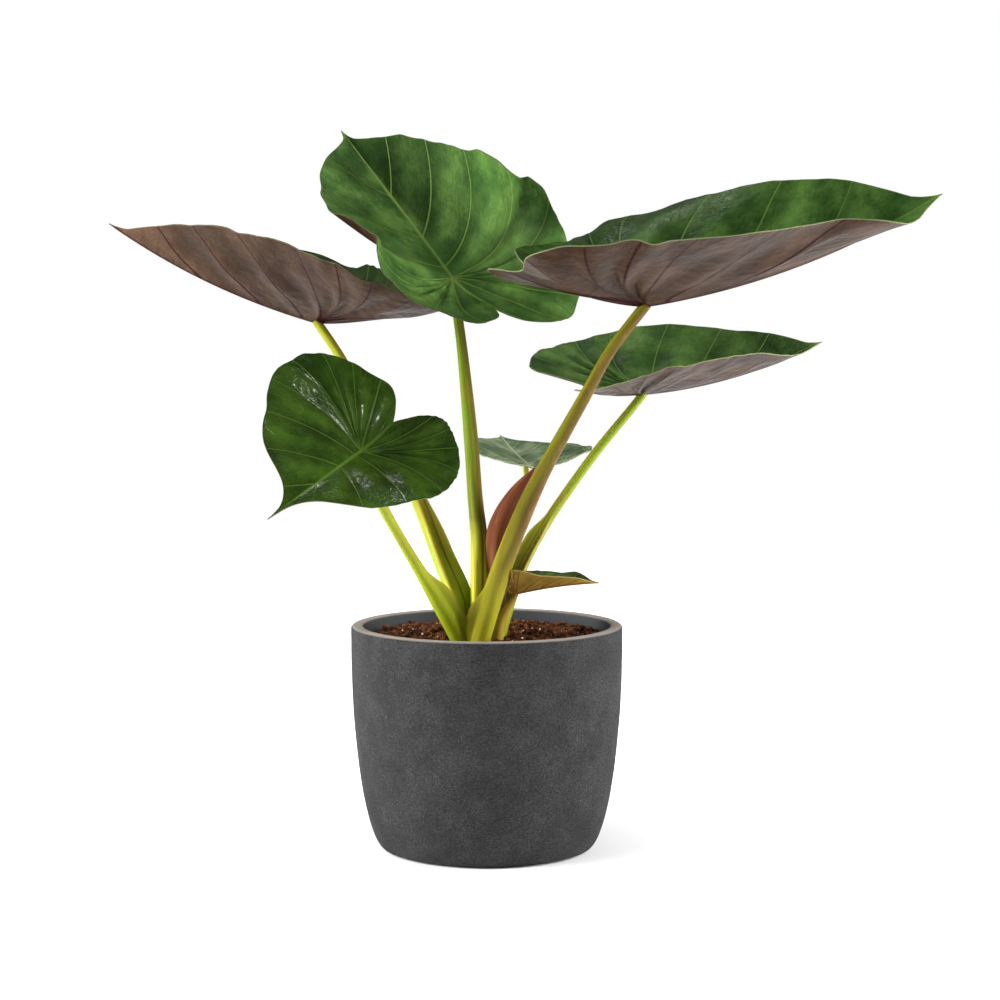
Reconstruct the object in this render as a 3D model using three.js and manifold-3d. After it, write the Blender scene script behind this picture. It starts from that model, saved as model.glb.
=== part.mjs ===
// A potted alocasia: seven arrow-shaped leaves and one rolled new leaf in a round planter.
// Millimetres, Z up. The origin is the centre of the pot's foot, on the floor, and the plant is
// seen from the side of negative Y.
import * as THREE from "three";
import { mergeVertices } from "three/addons/utils/BufferGeometryUtils.js";
import Module from "manifold-3d";

const wasm = await Module();
wasm.setup();

// ---------------------------------------------------------------- driving values

const GAP = 0.3; // clearance between pieces that touch

const POT = {
  radius: 136.2,
  footRadius: 101.9,
  height: 224.8,
  curveTop: 204, // height at which the wall has reached its full radius
  belly: 1.936, // how early the wall turns upright
  flare: 1.943, // how fast it leaves the foot
  wall: 13.5,
  floor: 16,
  rimRound: 3,
  footRound: 2,
  segments: 48,
};

const SOIL = { top: 212, relief: 3.2, lumps: 90, rings: 8, seed: 7 };

const CORM = { centre: [-6, -22, 166], radii: [34, 32, 36], segments: 20, rings: 12 };

// Thickness of a blade, height and half width of the rib under its middle, and the side veins of
// each half: how many, how far they bow back towards the lobe, how closely they gather near the
// stalk (an exponent), and how high the blade bulges between them.
const BLADE = {
  thickness: 1.2, ribHeight: 1.9, ribHalfWidth: 4, veins: 10, bow: 0.5, gather: 2.2, quilting: 2.1,
};

// Half outline of a leaf in shares of its own size, from the tip round the lobe to the notch:
// along the midrib (front length ahead of the stalk, lobe length behind it), and across it.
const OUTLINE = {
  along: [1, 0.955, 0.9, 0.8, 0.64, 0.44, 0.2, -0.05, -0.35, -0.65, -0.88, -0.99, -0.93, -0.72, -0.5],
  across: [0, 0.012, 0.045, 0.19, 0.44, 0.7, 0.91, 1, 0.985, 0.83, 0.58, 0.34, 0.15, 0.045, 0],
};

// One entry a leaf. junction: where the stalk meets the blade. azimuth, pitch and roll point the
// blade (degrees). front, lobe and halfWidth are its lengths. sinus: how far the notch stays from
// the stalk, in shares of the lobe. fold: degrees of the V across the midrib (both halves, then
// more on the left, more towards the tip, more towards the lobes). curl: the same for the curving
// of each half from midrib to margin. bend: degrees of bow along the front and along the lobes.
// Reach and Lift shape each half's margin from tip to notch: outwards in shares, upwards in mm.
// tail: how far the tip runs on, or is blunted if below 0. throat: how high the blade arches just
// behind the stalk. shoulder: how much fuller each half is near its tip.
const LEAVES = {
  a: {
    junction: [-118, -150, 407], azimuth: -116, pitch: -16.7, roll: 31,
    front: 165, lobe: 87, halfWidth: 102, sinus: 0.71,
    fold: [17, -2, 4, 12], curl: [-9, 2, -10, 19], bend: [1, 26], twist: -2,
    leftReach: [1.03, 1, 0.99, 0.93, 0.91, 0.92, 0.98, 0.91],
    rightReach: [0.97, 1.07, 1.04, 1.09, 1.03, 1.02, 0.99, 1.06],
    leftLift: [5, 0, 2, 0, -2, 0, -4, -2],
    rightLift: [0, -6, 2, 1, 4, 2, 0, 5],
    wave: 1.5, waves: 7, wavePhase: 0.4, tail: 11, throat: 0, shoulder: -8,
    columns: 30, cells: [0, 0.05, 0.35, 0.7, 1],
  },
  b: {
    junction: [-175, 80, 527.4], azimuth: 172, pitch: 15.3, roll: -15.6,
    front: 250, lobe: 131, halfWidth: 130, sinus: 0.63,
    fold: [23, -13, 19, -27], curl: [15, -2, 1, 37], bend: [20, 43], twist: 9,
    leftReach: [0.93, 1.04, 0.99, 1.01, 1.03, 1.07, 1.04, 1],
    rightReach: [1, 1.02, 1, 0.97, 0.99, 1, 1, 1],
    leftLift: [7, -1, -1, 1, 2, 4, -2, 1],
    rightLift: [0, 2, 2, -1, 3, 1, 0, 1],
    wave: 1.6, waves: 8, wavePhase: 1.1, tail: -3, throat: 9, shoulder: 0,
    columns: 30, cells: [0, 0.05, 0.35, 0.7, 1],
  },
  c: {
    junction: [-36, 50, 572], azimuth: 130, pitch: 40.4, roll: 19.7,
    front: 255, lobe: 111, halfWidth: 137, sinus: 0.53,
    fold: [19, -2, -6, -43], curl: [65, -11, -3, -6], bend: [-4, 49], twist: -25,
    leftReach: [1.15, 1.04, 1.03, 0.98, 0.96, 1.01, 1.01, 0.97],
    rightReach: [1.11, 0.97, 0.99, 1.06, 0.95, 1.06, 1.07, 1.05],
    leftLift: [16, 2, -4, 2, -2, 2, -3, -1],
    rightLift: [-3, -5, -3, -2, 0, -1, 1, -8],
    wave: 2.4, waves: 8.5, wavePhase: 0.9, tail: -5, throat: 3, shoulder: 0,
    columns: 30, cells: [0, 0.05, 0.35, 0.7, 1],
  },
  d: {
    junction: [153, -95, 545.7], azimuth: 9, pitch: 8.6, roll: 7.8,
    front: 320, lobe: 151, halfWidth: 172, sinus: 0.68,
    fold: [36, 28, 5, -31], curl: [-18, -31, 3, 32], bend: [23, 51], twist: 3,
    leftReach: [0.9, 1.03, 1.03, 0.99, 0.98, 1, 0.99, 0.98],
    rightReach: [1.45, 0.96, 0.97, 0.96, 1.04, 1.12, 0.89, 1.15],
    leftLift: [19, 8, -3, -5, -3, 2, 2, 2],
    rightLift: [-22, 1, -5, -3, 4, -2, -1, -13],
    wave: 1.2, waves: 9, wavePhase: 2.2, tail: -5, throat: 8.5, shoulder: 3,
    columns: 30, cells: [0, 0.05, 0.35, 0.7, 1],
  },
  e: {
    junction: [161, 80, 454], azimuth: 25, pitch: 3.3, roll: -14.1,
    front: 221, lobe: 101, halfWidth: 121, sinus: 0.47,
    fold: [18, -2, 11, -11], curl: [11, -12, 5, 4], bend: [22, 15], twist: 0,
    leftReach: [0.85, 1.03, 1.05, 0.97, 0.98, 1.07, 1.09, 0.98],
    rightReach: [1.01, 1.01, 0.98, 0.98, 1.01, 1.01, 0.99, 0.96],
    leftLift: [11, 5, 2, -2, -1, 1, -1, 7],
    rightLift: [-5, 0, 1, -2, 2, 1, -1, 1],
    wave: 0.6, waves: 7.5, wavePhase: 0.2, tail: -5, throat: 0, shoulder: 4,
    columns: 30, cells: [0, 0.05, 0.35, 0.7, 1],
  },
  f: {
    junction: [40, 130, 378], azimuth: 106, pitch: 10, roll: -3,
    front: 103, lobe: 53, halfWidth: 70, sinus: 0.49,
    fold: [18, 0, -8, 0], curl: [-1, -1, -4, -2], bend: [8, 15], twist: 1,
    leftReach: [1, 1, 1.02, 1.01, 0.99, 1, 1, 1],
    rightReach: [1, 1, 1, 1, 1.01, 1, 0.99, 1],
    leftLift: [0, 1, 0, 1, -3, -5, -4, 0],
    rightLift: [-1, 0, 0, 0, 0, 1, -1, 0],
    wave: 0.8, waves: 6, wavePhase: 0.7, tail: 0, throat: 0, shoulder: 0,
    columns: 20, cells: [0, 0.07, 0.5, 1],
  },
  g: {
    junction: [30, -36, 260], azimuth: 1, pitch: 13, roll: 2,
    front: 82, lobe: 9, halfWidth: 27, sinus: 0.5,
    fold: [50, 0, -3, -1], curl: [2, 0, -2, -1], bend: [-11, 18], twist: 1,
    leftReach: [0.98, 1.02, 0.99, 1, 1, 1, 1, 1],
    rightReach: [1, 1, 0.99, 1.01, 1, 1, 1, 1],
    leftLift: [6, 0, 0, 0, 0, 0, 0, 0],
    rightLift: [1, -2, -2, 4, -1, 0, 0, 0],
    wave: 0.6, waves: 5, wavePhase: 0, tail: 0, throat: 0, shoulder: 0,
    columns: 16, cells: [0, 0.1, 0.5, 1],
  },
};

// Stalks from the corm up: points x, y, z and the radius there. The blade's junction is the last
// point and gets the radius under neck. faces: the compass side (degrees) of the channel. The
// sheath's two wings stand out by width below top, and open over rise.
const STALKS = {
  d: {
    route: [[-14, -38, 180, 9.5], [-7, -41, 214, 10.5], [7, -45, 262, 10.4], [20, -49, 301, 9.6],
      [38, -55, 346, 9], [58.8, -63, 390, 7.4], [97.6, -76, 461, 6], [119.6, -85, 501, 5.4]],
    neck: 5.4, faces: 120, sheath: { top: 268, rise: 30, width: 8 }, rings: 16,
  },
  c: {
    route: [[-6, -20, 180, 8], [-6, -19, 213, 8.6], [-7, -18, 252, 9.3], [-7.8, -10, 311, 8.6],
      [-11.7, -3, 354, 7.6], [-16.9, 11, 422, 7], [-26.2, 34, 510, 5.2]],
    neck: 4.8, faces: -60, sheath: { top: 330, rise: 80, width: 1.5 }, rings: 16,
  },
  a: {
    route: [[-18, -34, 180, 8.5], [-26, -39, 213, 9.2], [-46.5, -51, 253, 8.1], [-64.3, -66, 285, 5.9],
      [-82.2, -85, 318, 4.9], [-99, -108, 352, 4.9], [-110, -128, 380, 4.7]],
    neck: 4.6, faces: 60, sheath: { top: 285, rise: 28, width: 8 }, rings: 16,
  },
  b: {
    route: [[-22, -17, 180, 8.5], [-24, -16, 213, 9.2], [-28.4, -13, 251, 10.8], [-46, -4, 294, 9.2],
      [-67.5, 11, 347, 7.8], [-94, 27, 398, 6.1], [-124, 45, 446, 5.5], [-149, 63, 490, 4.9]],
    neck: 4.8, faces: -40, sheath: { top: 362, rise: 60, width: 5 }, rings: 16,
  },
  g: {
    route: [[10, -38, 180, 6.3], [10, -38, 214, 6.6], [14.5, -37, 236, 5]],
    neck: 2, faces: 150, sheath: { top: 240, rise: 20, width: 1.5 }, rings: 8,
  },
  e: {
    route: [[12, -9, 180, 7], [11, -8, 209, 7.5], [24, 0, 254, 7], [39, 9, 289, 5.6],
      [62, 23, 328, 5], [86, 37, 362, 4.8], [112.8, 52, 397, 4.7], [148, 72, 438, 4.5]],
    neck: 4.4, faces: 220, sheath: { top: 334, rise: 26, width: 7 }, rings: 16,
  },
  f: {
    route: [[0, 0, 180, 5], [1, 1, 205, 5], [7, 5, 229, 5], [19, 26, 267, 4.6],
      [30, 56, 304, 4.2], [41, 92, 343, 3.8]],
    neck: 3.2, faces: -90, sheath: { top: 280, rise: 40, width: 2 }, rings: 14,
  },
};

// The rolled new leaf, in the same form: its last point is its tip.
const FURLED = {
  route: [[8, -21, 180, 5.5], [8, -21, 215, 6], [10, -21, 252, 8.5], [12, -20, 282, 13],
    [12, -20, 312, 14.5], [19, -20, 337, 12.5], [32, -20, 362, 7.5], [48, -20, 384, 0.8]],
  faces: 200, sheath: { top: 370, rise: 60, width: 1.5 }, rings: 16,
};

const CHANNEL = { depth: 0.16, spread: 0.5, wingAngle: 1.05, wingSpread: 0.32 };
const SECTION_DEGREES = [0, 25, 43, 60, 78, 110, 145, 180, 215, 250, 282, 300, 317, 335];
const STALK_PAST_BLADE = 4; // how far a stalk is run past its blade before the blade trims it

const COLOURS = {
  pot: { color: 0x4b4d50, roughness: 0.85 },
  soil: { color: 0x3a2419, roughness: 0.95 },
  corm: { color: 0x6b4a30, roughness: 0.9 },
  furled_leaf: { color: 0x7a3f36, roughness: 0.5 },
  blade: {
    a: 0x1d3f1c, b: 0x6b5347, c: 0x2f5a26, d: 0x35582d, e: 0x35582d, f: 0x5d7358, g: 0x6f5c33,
  },
  petiole: {
    a: 0xa3b13f, b: 0x93a038, c: 0x75802f, d: 0x8b7a36, e: 0x9fb63c, f: 0x8f9f3c, g: 0xa5a83c,
  },
};

// ---------------------------------------------------------------- small tools

const radians = THREE.MathUtils.degToRad;

// Value at t of a smooth curve that passes through the values at the knots.
function through(knots, values, t) {
  let i = 0;
  while (i < knots.length - 2 && t > knots[i + 1]) i += 1;
  const slope = (k) => {
    const before = Math.max(k - 1, 0);
    const after = Math.min(k + 1, knots.length - 1);
    return (values[after] - values[before]) / (knots[after] - knots[before]);
  };
  const span = knots[i + 1] - knots[i];
  const f = (t - knots[i]) / span;
  const start = values[i];
  const end = values[i + 1];
  const leave = slope(i) * span;
  const arrive = slope(i + 1) * span;
  const cubic = 2 * (start - end) + leave + arrive;
  const square = 3 * (end - start) - 2 * leave - arrive;
  return start + f * (leave + f * (square + f * cubic));
}

const evenKnots = (count) => Array.from({ length: count }, (_, i) => i / (count - 1));

// 0 below 0, 1 above 1, and a soft step between.
function softStep(x) {
  const t = THREE.MathUtils.clamp(x, 0, 1);
  return t * t * (3 - 2 * t);
}

// Closed geometry from corner points and triangles, with doubled corners and slivers taken out.
function closedGeometry(points, triangles) {
  const loose = new THREE.BufferGeometry();
  loose.setAttribute("position", new THREE.Float32BufferAttribute(points.flat(), 3));
  loose.setIndex(triangles.flat());
  return withoutSlivers(loose);
}

function withoutSlivers(loose) {
  for (const name of ["normal", "uv"]) loose.deleteAttribute(name);
  const merged = mergeVertices(loose, 1e-3);
  const index = merged.index.array;
  const kept = [];
  for (let i = 0; i < index.length; i += 3) {
    const [a, b, c] = [index[i], index[i + 1], index[i + 2]];
    if (a !== b && b !== c && c !== a) kept.push(a, b, c);
  }
  merged.setIndex(kept);
  return merged;
}

function toSolid(geometry) {
  const vertProperties = Float32Array.from(geometry.attributes.position.array);
  const triVerts = Uint32Array.from(geometry.index.array);
  return new wasm.Manifold(new wasm.Mesh({ numProp: 3, vertProperties, triVerts }));
}

function toGeometry(solid) {
  const { vertProperties, triVerts } = solid.getMesh();
  const geometry = new THREE.BufferGeometry();
  geometry.setAttribute("position", new THREE.Float32BufferAttribute(vertProperties, 3));
  geometry.setIndex(Array.from(triVerts));
  geometry.computeVertexNormals();
  return geometry;
}

function largestBody(solid) {
  return solid.decompose().sort((a, b) => b.volume() - a.volume())[0];
}

// Even random numbers from 0 to 1 that are the same at every run.
function seededRandom(seed) {
  let state = seed;
  return () => {
    state = (state * 1664525 + 1013904223) % 4294967296;
    return state / 4294967296;
  };
}

function latheSolid(profile, segments) {
  const points = profile.map(([radius, height]) => new THREE.Vector2(radius, height));
  const lathe = new THREE.LatheGeometry(points, segments);
  lathe.rotateX(Math.PI / 2); // the lathe turns about Y, the pot stands along Z
  return withoutSlivers(lathe);
}

// ---------------------------------------------------------------- pot and soil

function potRadius(height) {
  const rise = Math.min(height / POT.curveTop, 1);
  const spread = (1 - (1 - rise) ** POT.belly) ** (1 / POT.flare);
  return POT.footRadius + (POT.radius - POT.footRadius) * spread;
}

// Heights up the wall, closer together near the foot where it curves most.
function wallHeights(from, to, steps) {
  return Array.from({ length: steps + 1 }, (_, i) => from + (to - from) * (i / steps) ** 1.5);
}

function potGeometry() {
  const outer = wallHeights(POT.footRound, POT.curveTop, 9).map((z) => [potRadius(z), z]);
  const inner = wallHeights(POT.floor, POT.curveTop, 3).map((z) => [potRadius(z) - POT.wall, z]);
  const rimTop = POT.height - POT.rimRound;
  const rim = [0, 30, 60, 90].map(radians).map((angle) => [
    POT.radius - POT.rimRound * (1 - Math.cos(angle)),
    rimTop + POT.rimRound * Math.sin(angle),
  ]);
  const innerRim = rim.map(([radius, z]) => [2 * POT.radius - POT.wall - radius, z]).reverse();
  const foot = [[0, 0], [POT.footRadius - POT.footRound, 0]];
  return latheSolid([...foot, ...outer, ...rim, ...innerRim, ...inner.reverse(), [0, POT.floor]],
    POT.segments);
}

// Bark-like unevenness of the soil, as a sum of small round lumps.
function soilRelief() {
  const random = seededRandom(SOIL.seed);
  const reach = POT.radius - POT.wall - 10;
  const lumps = Array.from({ length: SOIL.lumps }, () => {
    const angle = random() * Math.PI * 2;
    const distance = Math.sqrt(random()) * reach;
    const height = SOIL.relief * (random() * 1.6 - 0.5);
    return { x: distance * Math.cos(angle), y: distance * Math.sin(angle), height, size: 9 + 8 * random() };
  });
  return (x, y) => lumps.reduce((sum, lump) => {
    const away = ((x - lump.x) ** 2 + (y - lump.y) ** 2) / lump.size ** 2;
    return sum + lump.height * Math.exp(-away);
  }, 0);
}

function soilSolid() {
  const wallGap = POT.wall + GAP;
  const side = wallHeights(POT.floor, POT.curveTop, 3).map((z) => [potRadius(z) - wallGap, z]);
  side[0][1] += GAP;
  const edge = POT.radius - wallGap;
  const rings = Array.from({ length: SOIL.rings }, (_, i) => [edge * (1 - i / SOIL.rings), SOIL.top]);
  const geometry = latheSolid([[0, POT.floor + GAP], ...side, ...rings, [0, SOIL.top]], POT.segments);
  const relief = soilRelief();
  const position = geometry.attributes.position;
  for (let i = 0; i < position.count; i += 1) {
    if (position.getZ(i) < SOIL.top - 1) continue;
    const [x, y] = [position.getX(i), position.getY(i)];
    const inside = softStep((edge - Math.hypot(x, y)) / 12);
    position.setZ(i, SOIL.top + inside * relief(x, y));
  }
  return toSolid(geometry);
}

function cormSolid(grow) {
  const ball = new THREE.SphereGeometry(1, CORM.segments, CORM.rings);
  ball.scale(...CORM.radii.map((radius) => radius + grow));
  ball.translate(...CORM.centre);
  return toSolid(withoutSlivers(ball));
}

// ---------------------------------------------------------------- leaf blades

const outlineKnots = OUTLINE.along.reduce((knots, along, i) => {
  if (i === 0) return [0];
  const step = Math.hypot(along - OUTLINE.along[i - 1], OUTLINE.across[i] - OUTLINE.across[i - 1]);
  return [...knots, knots[i - 1] + step];
}, []);
const outlineShares = outlineKnots.map((length) => length / outlineKnots.at(-1));
const marginKnots = evenKnots(10);

// Where the column that ends at share t of the margin starts on the midrib, where it ends, and
// the place on the midrib from which the margin's reach is counted.
function bladeColumn(leaf, side, t) {
  const notch = THREE.MathUtils.clamp((t - 0.86) / 0.14, 0, 1) ** 1.5 * (0.5 - leaf.sinus);
  const share = through(outlineShares, OUTLINE.along, t) + notch;
  const tail = leaf.tail * THREE.MathUtils.clamp(1 - t / 0.05, 0, 1) ** 1.5;
  const along = share * (share > 0 ? leaf.front : leaf.lobe) + tail;
  const shoulder = leaf.shoulder * Math.sin(Math.PI * Math.min(5 * t, 1)) ** 2;
  const across = Math.max(0, through(outlineShares, OUTLINE.across, t) * leaf.halfWidth + shoulder);
  const forward = THREE.MathUtils.clamp((share - 0.12) / 0.88, 0, 1);
  const notchAt = -leaf.sinus * leaf.lobe;
  if (t < 0.62) {
    const start = forward ** BLADE.gather * leaf.front + tail;
    return { start, anchor: forward * leaf.front, along, across };
  }
  const start = notchAt * THREE.MathUtils.clamp((t - 0.8) / 0.2, 0, 1) ** 1.5;
  const anchor = notchAt * THREE.MathUtils.clamp((t - 0.62) / 0.38, 0, 1) ** 2.2;
  return { start, anchor, along, across };
}

// A length laid along an arc that turns by the curvature: how far it gets and how high it rises.
function arc(length, curvature, turned) {
  const k = Math.abs(curvature) < 1e-7 ? 1e-7 : curvature;
  return [
    (Math.sin(turned + k * length) - Math.sin(turned)) / k,
    (Math.cos(turned) - Math.cos(turned + k * length)) / k,
  ];
}

// Axes of the blade: towards the tip, towards its left, and up from its upper side.
function bladeAxes(leaf) {
  const [azimuth, pitch, roll] = [leaf.azimuth, leaf.pitch, leaf.roll].map(radians);
  const tip = new THREE.Vector3(
    Math.cos(pitch) * Math.cos(azimuth), Math.cos(pitch) * Math.sin(azimuth), Math.sin(pitch));
  const level = new THREE.Vector3(-Math.sin(azimuth), Math.cos(azimuth), 0);
  const upright = new THREE.Vector3().crossVectors(tip, level);
  const up = upright.multiplyScalar(Math.cos(roll)).addScaledVector(level, Math.sin(roll));
  return { tip, left: new THREE.Vector3().crossVectors(up, tip), up };
}

// Puts a place of the flat blade (along, across, raised) on the folded, curled and bowed one.
function bendBlade(leaf, side, along, across, raised) {
  const sign = side === "left" ? 1 : -1;
  const share = along / (along > 0 ? leaf.front : leaf.lobe);
  const [forward, backward] = [Math.max(share, 0), Math.max(-share, 0)];
  const amount = ([all, left, tip, lobe]) =>
    radians(all + sign * left + tip * forward + lobe * backward);
  const [out, rise] = arc(across, amount(leaf.curl) / leaf.halfWidth, amount(leaf.fold));
  const bow = along > 0 ? radians(leaf.bend[0]) / leaf.front : radians(leaf.bend[1]) / leaf.lobe;
  const [reach, climb] = arc(Math.abs(along), bow, 0);
  const lean = (along > 0 ? 1 : -1) * Math.abs(along) * bow;
  const throat = leaf.throat * Math.sin(Math.PI * Math.min(backward, 1))
    * Math.exp(-((across / (0.35 * leaf.halfWidth)) ** 2));
  const height = rise + raised + throat;
  const x = (along > 0 ? reach : -reach) - Math.sin(lean) * height;
  const z = climb + Math.cos(lean) * height;
  const turn = radians(leaf.twist) * share;
  const y = sign * out;
  const { tip, left, up } = leaf.axes;
  return new THREE.Vector3(...leaf.junction)
    .addScaledVector(tip, x)
    .addScaledVector(left, y * Math.cos(turn) - z * Math.sin(turn))
    .addScaledVector(up, y * Math.sin(turn) + z * Math.cos(turn));
}

// A point of the blade's middle surface: t runs round the margin, w from the midrib outwards.
function bladePoint(leaf, side, t, w) {
  const { start, anchor, along, across } = bladeColumn(leaf, side, t);
  const reach = through(marginKnots, [1, ...leaf[`${side}Reach`], 1], t);
  const lift = through(marginKnots, [0, ...leaf[`${side}Lift`], 0], t);
  const end = anchor + (along - anchor) * reach;
  const bow = w * (1 - w) * Math.hypot(end - start, across) * (across / leaf.halfWidth)
    * BLADE.bow * softStep((0.85 - t) / 0.45) * Math.min(1, (2 * leaf.lobe) / leaf.front);
  const phase = leaf.wavePhase + (side === "left" ? 0 : 1.3);
  const outward = across * w * reach;
  const wave = leaf.wave * (outward / leaf.halfWidth) ** 1.6 * Math.sin(2 * Math.PI * leaf.waves * t + phase);
  const quilt = -BLADE.quilting * Math.cos(2 * Math.PI * BLADE.veins * t) * Math.sin(Math.PI * w) ** 2
    * Math.min(1, across / (0.5 * leaf.halfWidth)) * (leaf.halfWidth / 130) ** 2;
  return bendBlade(leaf, side, start + (end - start) * w - bow, outward,
    lift * w * w + wave + quilt);
}

// Which way the upper side looks. On the midrib, at the tip and at the notch the halves share it.
function bladeNormal(leaf, side, t, w) {
  if (w === 0 || t === 0 || t === 1) {
    const { start } = bladeColumn(leaf, side, t);
    return bendBlade(leaf, side, start, 0, 1).sub(bendBlade(leaf, side, start, 0, 0));
  }
  const step = 0.004;
  const around = bladePoint(leaf, side, Math.min(t + step, 0.999), w)
    .sub(bladePoint(leaf, side, Math.max(t - step, 0.001), w));
  const outward = bladePoint(leaf, side, t, w).sub(bladePoint(leaf, side, t, w - step));
  const normal = new THREE.Vector3().crossVectors(outward, around).normalize();
  return side === "left" ? normal : normal.negate();
}

// A blade is two faces on one grid, closed by a strip along the margin. Both faces split alike.
function bladeSolid(leaf, grow) {
  const points = [];
  const triangles = [];
  const half = BLADE.thickness / 2 + grow;
  for (const side of ["left", "right"]) {
    const first = points.length / 2;
    for (let i = 0; i <= leaf.columns; i += 1) {
      const t = i / leaf.columns;
      const { start, across } = bladeColumn(leaf, side, t);
      const away = Math.min(1, Math.abs(start) / (start > 0 ? leaf.front : leaf.lobe));
      const ribHere = BLADE.ribHeight * (1 - away) ** 0.7 * (leaf.halfWidth / 130);
      for (const share of leaf.cells) {
        const w = share < 1 ? share : 1 + grow / (0.5 * leaf.halfWidth);
        const middle = bladePoint(leaf, side, t, w);
        const normal = bladeNormal(leaf, side, t, w);
        const fromRib = (across * w) / BLADE.ribHalfWidth;
        const rib = ribHere * Math.exp(-(fromRib ** 2));
        points.push(middle.clone().addScaledVector(normal, half).toArray());
        points.push(middle.clone().addScaledVector(normal, -half - rib).toArray());
      }
    }
    triangles.push(...halfBladeTriangles(leaf, side, first));
  }
  return toSolid(closedGeometry(points, triangles));
}

function halfBladeTriangles(leaf, side, first) {
  const triangles = [];
  const cells = leaf.cells.length - 1;
  const corner = (i, j, face) => 2 * (first + i * (cells + 1) + j) + face;
  const add = (a, b, c, outside) => triangles.push(outside ? [a, b, c] : [a, c, b]);
  for (let i = 0; i < leaf.columns; i += 1) {
    for (let j = 0; j < cells; j += 1) {
      for (const face of [0, 1]) {
        const outside = (side === "left") === (face === 0);
        add(corner(i, j, face), corner(i, j + 1, face), corner(i + 1, j + 1, face), outside);
        add(corner(i, j, face), corner(i + 1, j + 1, face), corner(i + 1, j, face), outside);
      }
    }
    const onLeft = side === "left";
    add(corner(i, cells, 0), corner(i, cells, 1), corner(i + 1, cells, 1), onLeft);
    add(corner(i, cells, 0), corner(i + 1, cells, 1), corner(i + 1, cells, 0), onLeft);
  }
  return triangles;
}

// ---------------------------------------------------------------- stalks

// Radius of a stalk's section at an angle from its channel, in mm.
function sectionRadius(stalk, radius, angle, height) {
  const open = softStep((stalk.sheath.top - height) / stalk.sheath.rise);
  const fromWing = (Math.abs(angle) - CHANNEL.wingAngle) / CHANNEL.wingSpread;
  const wing = stalk.sheath.width * open * Math.exp(-(fromWing ** 2));
  const groove = radius * CHANNEL.depth * (1 + open) * Math.exp(-((angle / CHANNEL.spread) ** 2));
  return radius + wing - groove;
}

// A closed tube whose rings follow the route, with the channel on one side.
function stalkSolid(stalk, grow) {
  const knots = evenKnots(stalk.route.length);
  const along = (t) => [0, 1, 2, 3].map((axis) => through(knots, stalk.route.map((p) => p[axis]), t));
  const facing = new THREE.Vector3(Math.cos(radians(stalk.faces)), Math.sin(radians(stalk.faces)), 0);
  const sides = SECTION_DEGREES.length;
  const points = [];
  for (let i = 0; i <= stalk.rings; i += 1) {
    const t = i / stalk.rings;
    const [x, y, z, radius] = along(t);
    const centre = new THREE.Vector3(x, y, z);
    const before = new THREE.Vector3(...along(Math.max(t - 0.01, 0)).slice(0, 3));
    const tangent = new THREE.Vector3(...along(Math.min(t + 0.01, 1)).slice(0, 3)).sub(before).normalize();
    const front = facing.clone().addScaledVector(tangent, -facing.dot(tangent)).normalize();
    const side = new THREE.Vector3().crossVectors(tangent, front);
    for (const degrees of SECTION_DEGREES) {
      const angle = radians(degrees > 180 ? degrees - 360 : degrees);
      const reach = sectionRadius(stalk, radius, angle, z) + grow;
      points.push(centre.clone()
        .addScaledVector(front, reach * Math.cos(angle))
        .addScaledVector(side, reach * Math.sin(angle)).toArray());
    }
  }
  const ends = [along(0), along(1)].map((end) => points.push(end.slice(0, 3)) - 1);
  const triangles = [];
  for (let j = 0; j < sides; j += 1) {
    const next = (j + 1) % sides;
    for (let i = 0; i < stalk.rings; i += 1) {
      const [low, high] = [i * sides, (i + 1) * sides];
      triangles.push([low + j, low + next, high + next], [low + j, high + next, high + j]);
    }
    const top = stalk.rings * sides;
    triangles.push([ends[0], next, j], [ends[1], top + j, top + next]);
  }
  return toSolid(closedGeometry(points, triangles));
}

// The stalk's route with the blade's junction, and a little past it, at its end.
function wholeStalk(name) {
  const stalk = STALKS[name];
  const junction = new THREE.Vector3(...LEAVES[name].junction);
  const from = new THREE.Vector3(...stalk.route.at(-1).slice(0, 3));
  const past = junction.clone().sub(from).setLength(STALK_PAST_BLADE).add(junction);
  return { ...stalk, route: [...stalk.route, [...past.toArray(), stalk.neck]] };
}

// ---------------------------------------------------------------- the whole plant

const plant = new THREE.Group();
plant.name = "potted_alocasia";

function addPiece(name, geometry, look) {
  const mesh = new THREE.Mesh(geometry, new THREE.MeshStandardMaterial(look));
  mesh.name = name;
  plant.add(mesh);
}

function addBlades() {
  for (const [name, leaf] of Object.entries(LEAVES)) {
    leaf.axes = bladeAxes(leaf);
    addPiece(`blade_${name}`, toGeometry(bladeSolid(leaf, 0)), {
      color: COLOURS.blade[name], roughness: name === "a" ? 0.25 : 0.4,
    });
  }
}

// Stalks grow close together, so each is trimmed by its blade, by the corm and by those before it.
function addStalks() {
  let standing = cormSolid(GAP);
  for (const name of Object.keys(STALKS)) {
    const stalk = wholeStalk(name);
    const trimmed = stalkSolid(stalk, 0).subtract(bladeSolid(LEAVES[name], GAP)).subtract(standing);
    addPiece(`petiole_${name}`, toGeometry(largestBody(trimmed)), {
      color: COLOURS.petiole[name], roughness: 0.45,
    });
    standing = standing.add(stalkSolid(stalk, GAP));
  }
  const furled = largestBody(stalkSolid(FURLED, 0).subtract(standing));
  addPiece("furled_leaf", toGeometry(furled), COLOURS.furled_leaf);
  return standing.add(stalkSolid(FURLED, GAP));
}

addPiece("pot", potGeometry(), COLOURS.pot);
addBlades();
const standing = addStalks();
addPiece("corm", toGeometry(cormSolid(0)), COLOURS.corm);
addPiece("soil", toGeometry(largestBody(soilSolid().subtract(standing))), COLOURS.soil);

export default plant;
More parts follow.
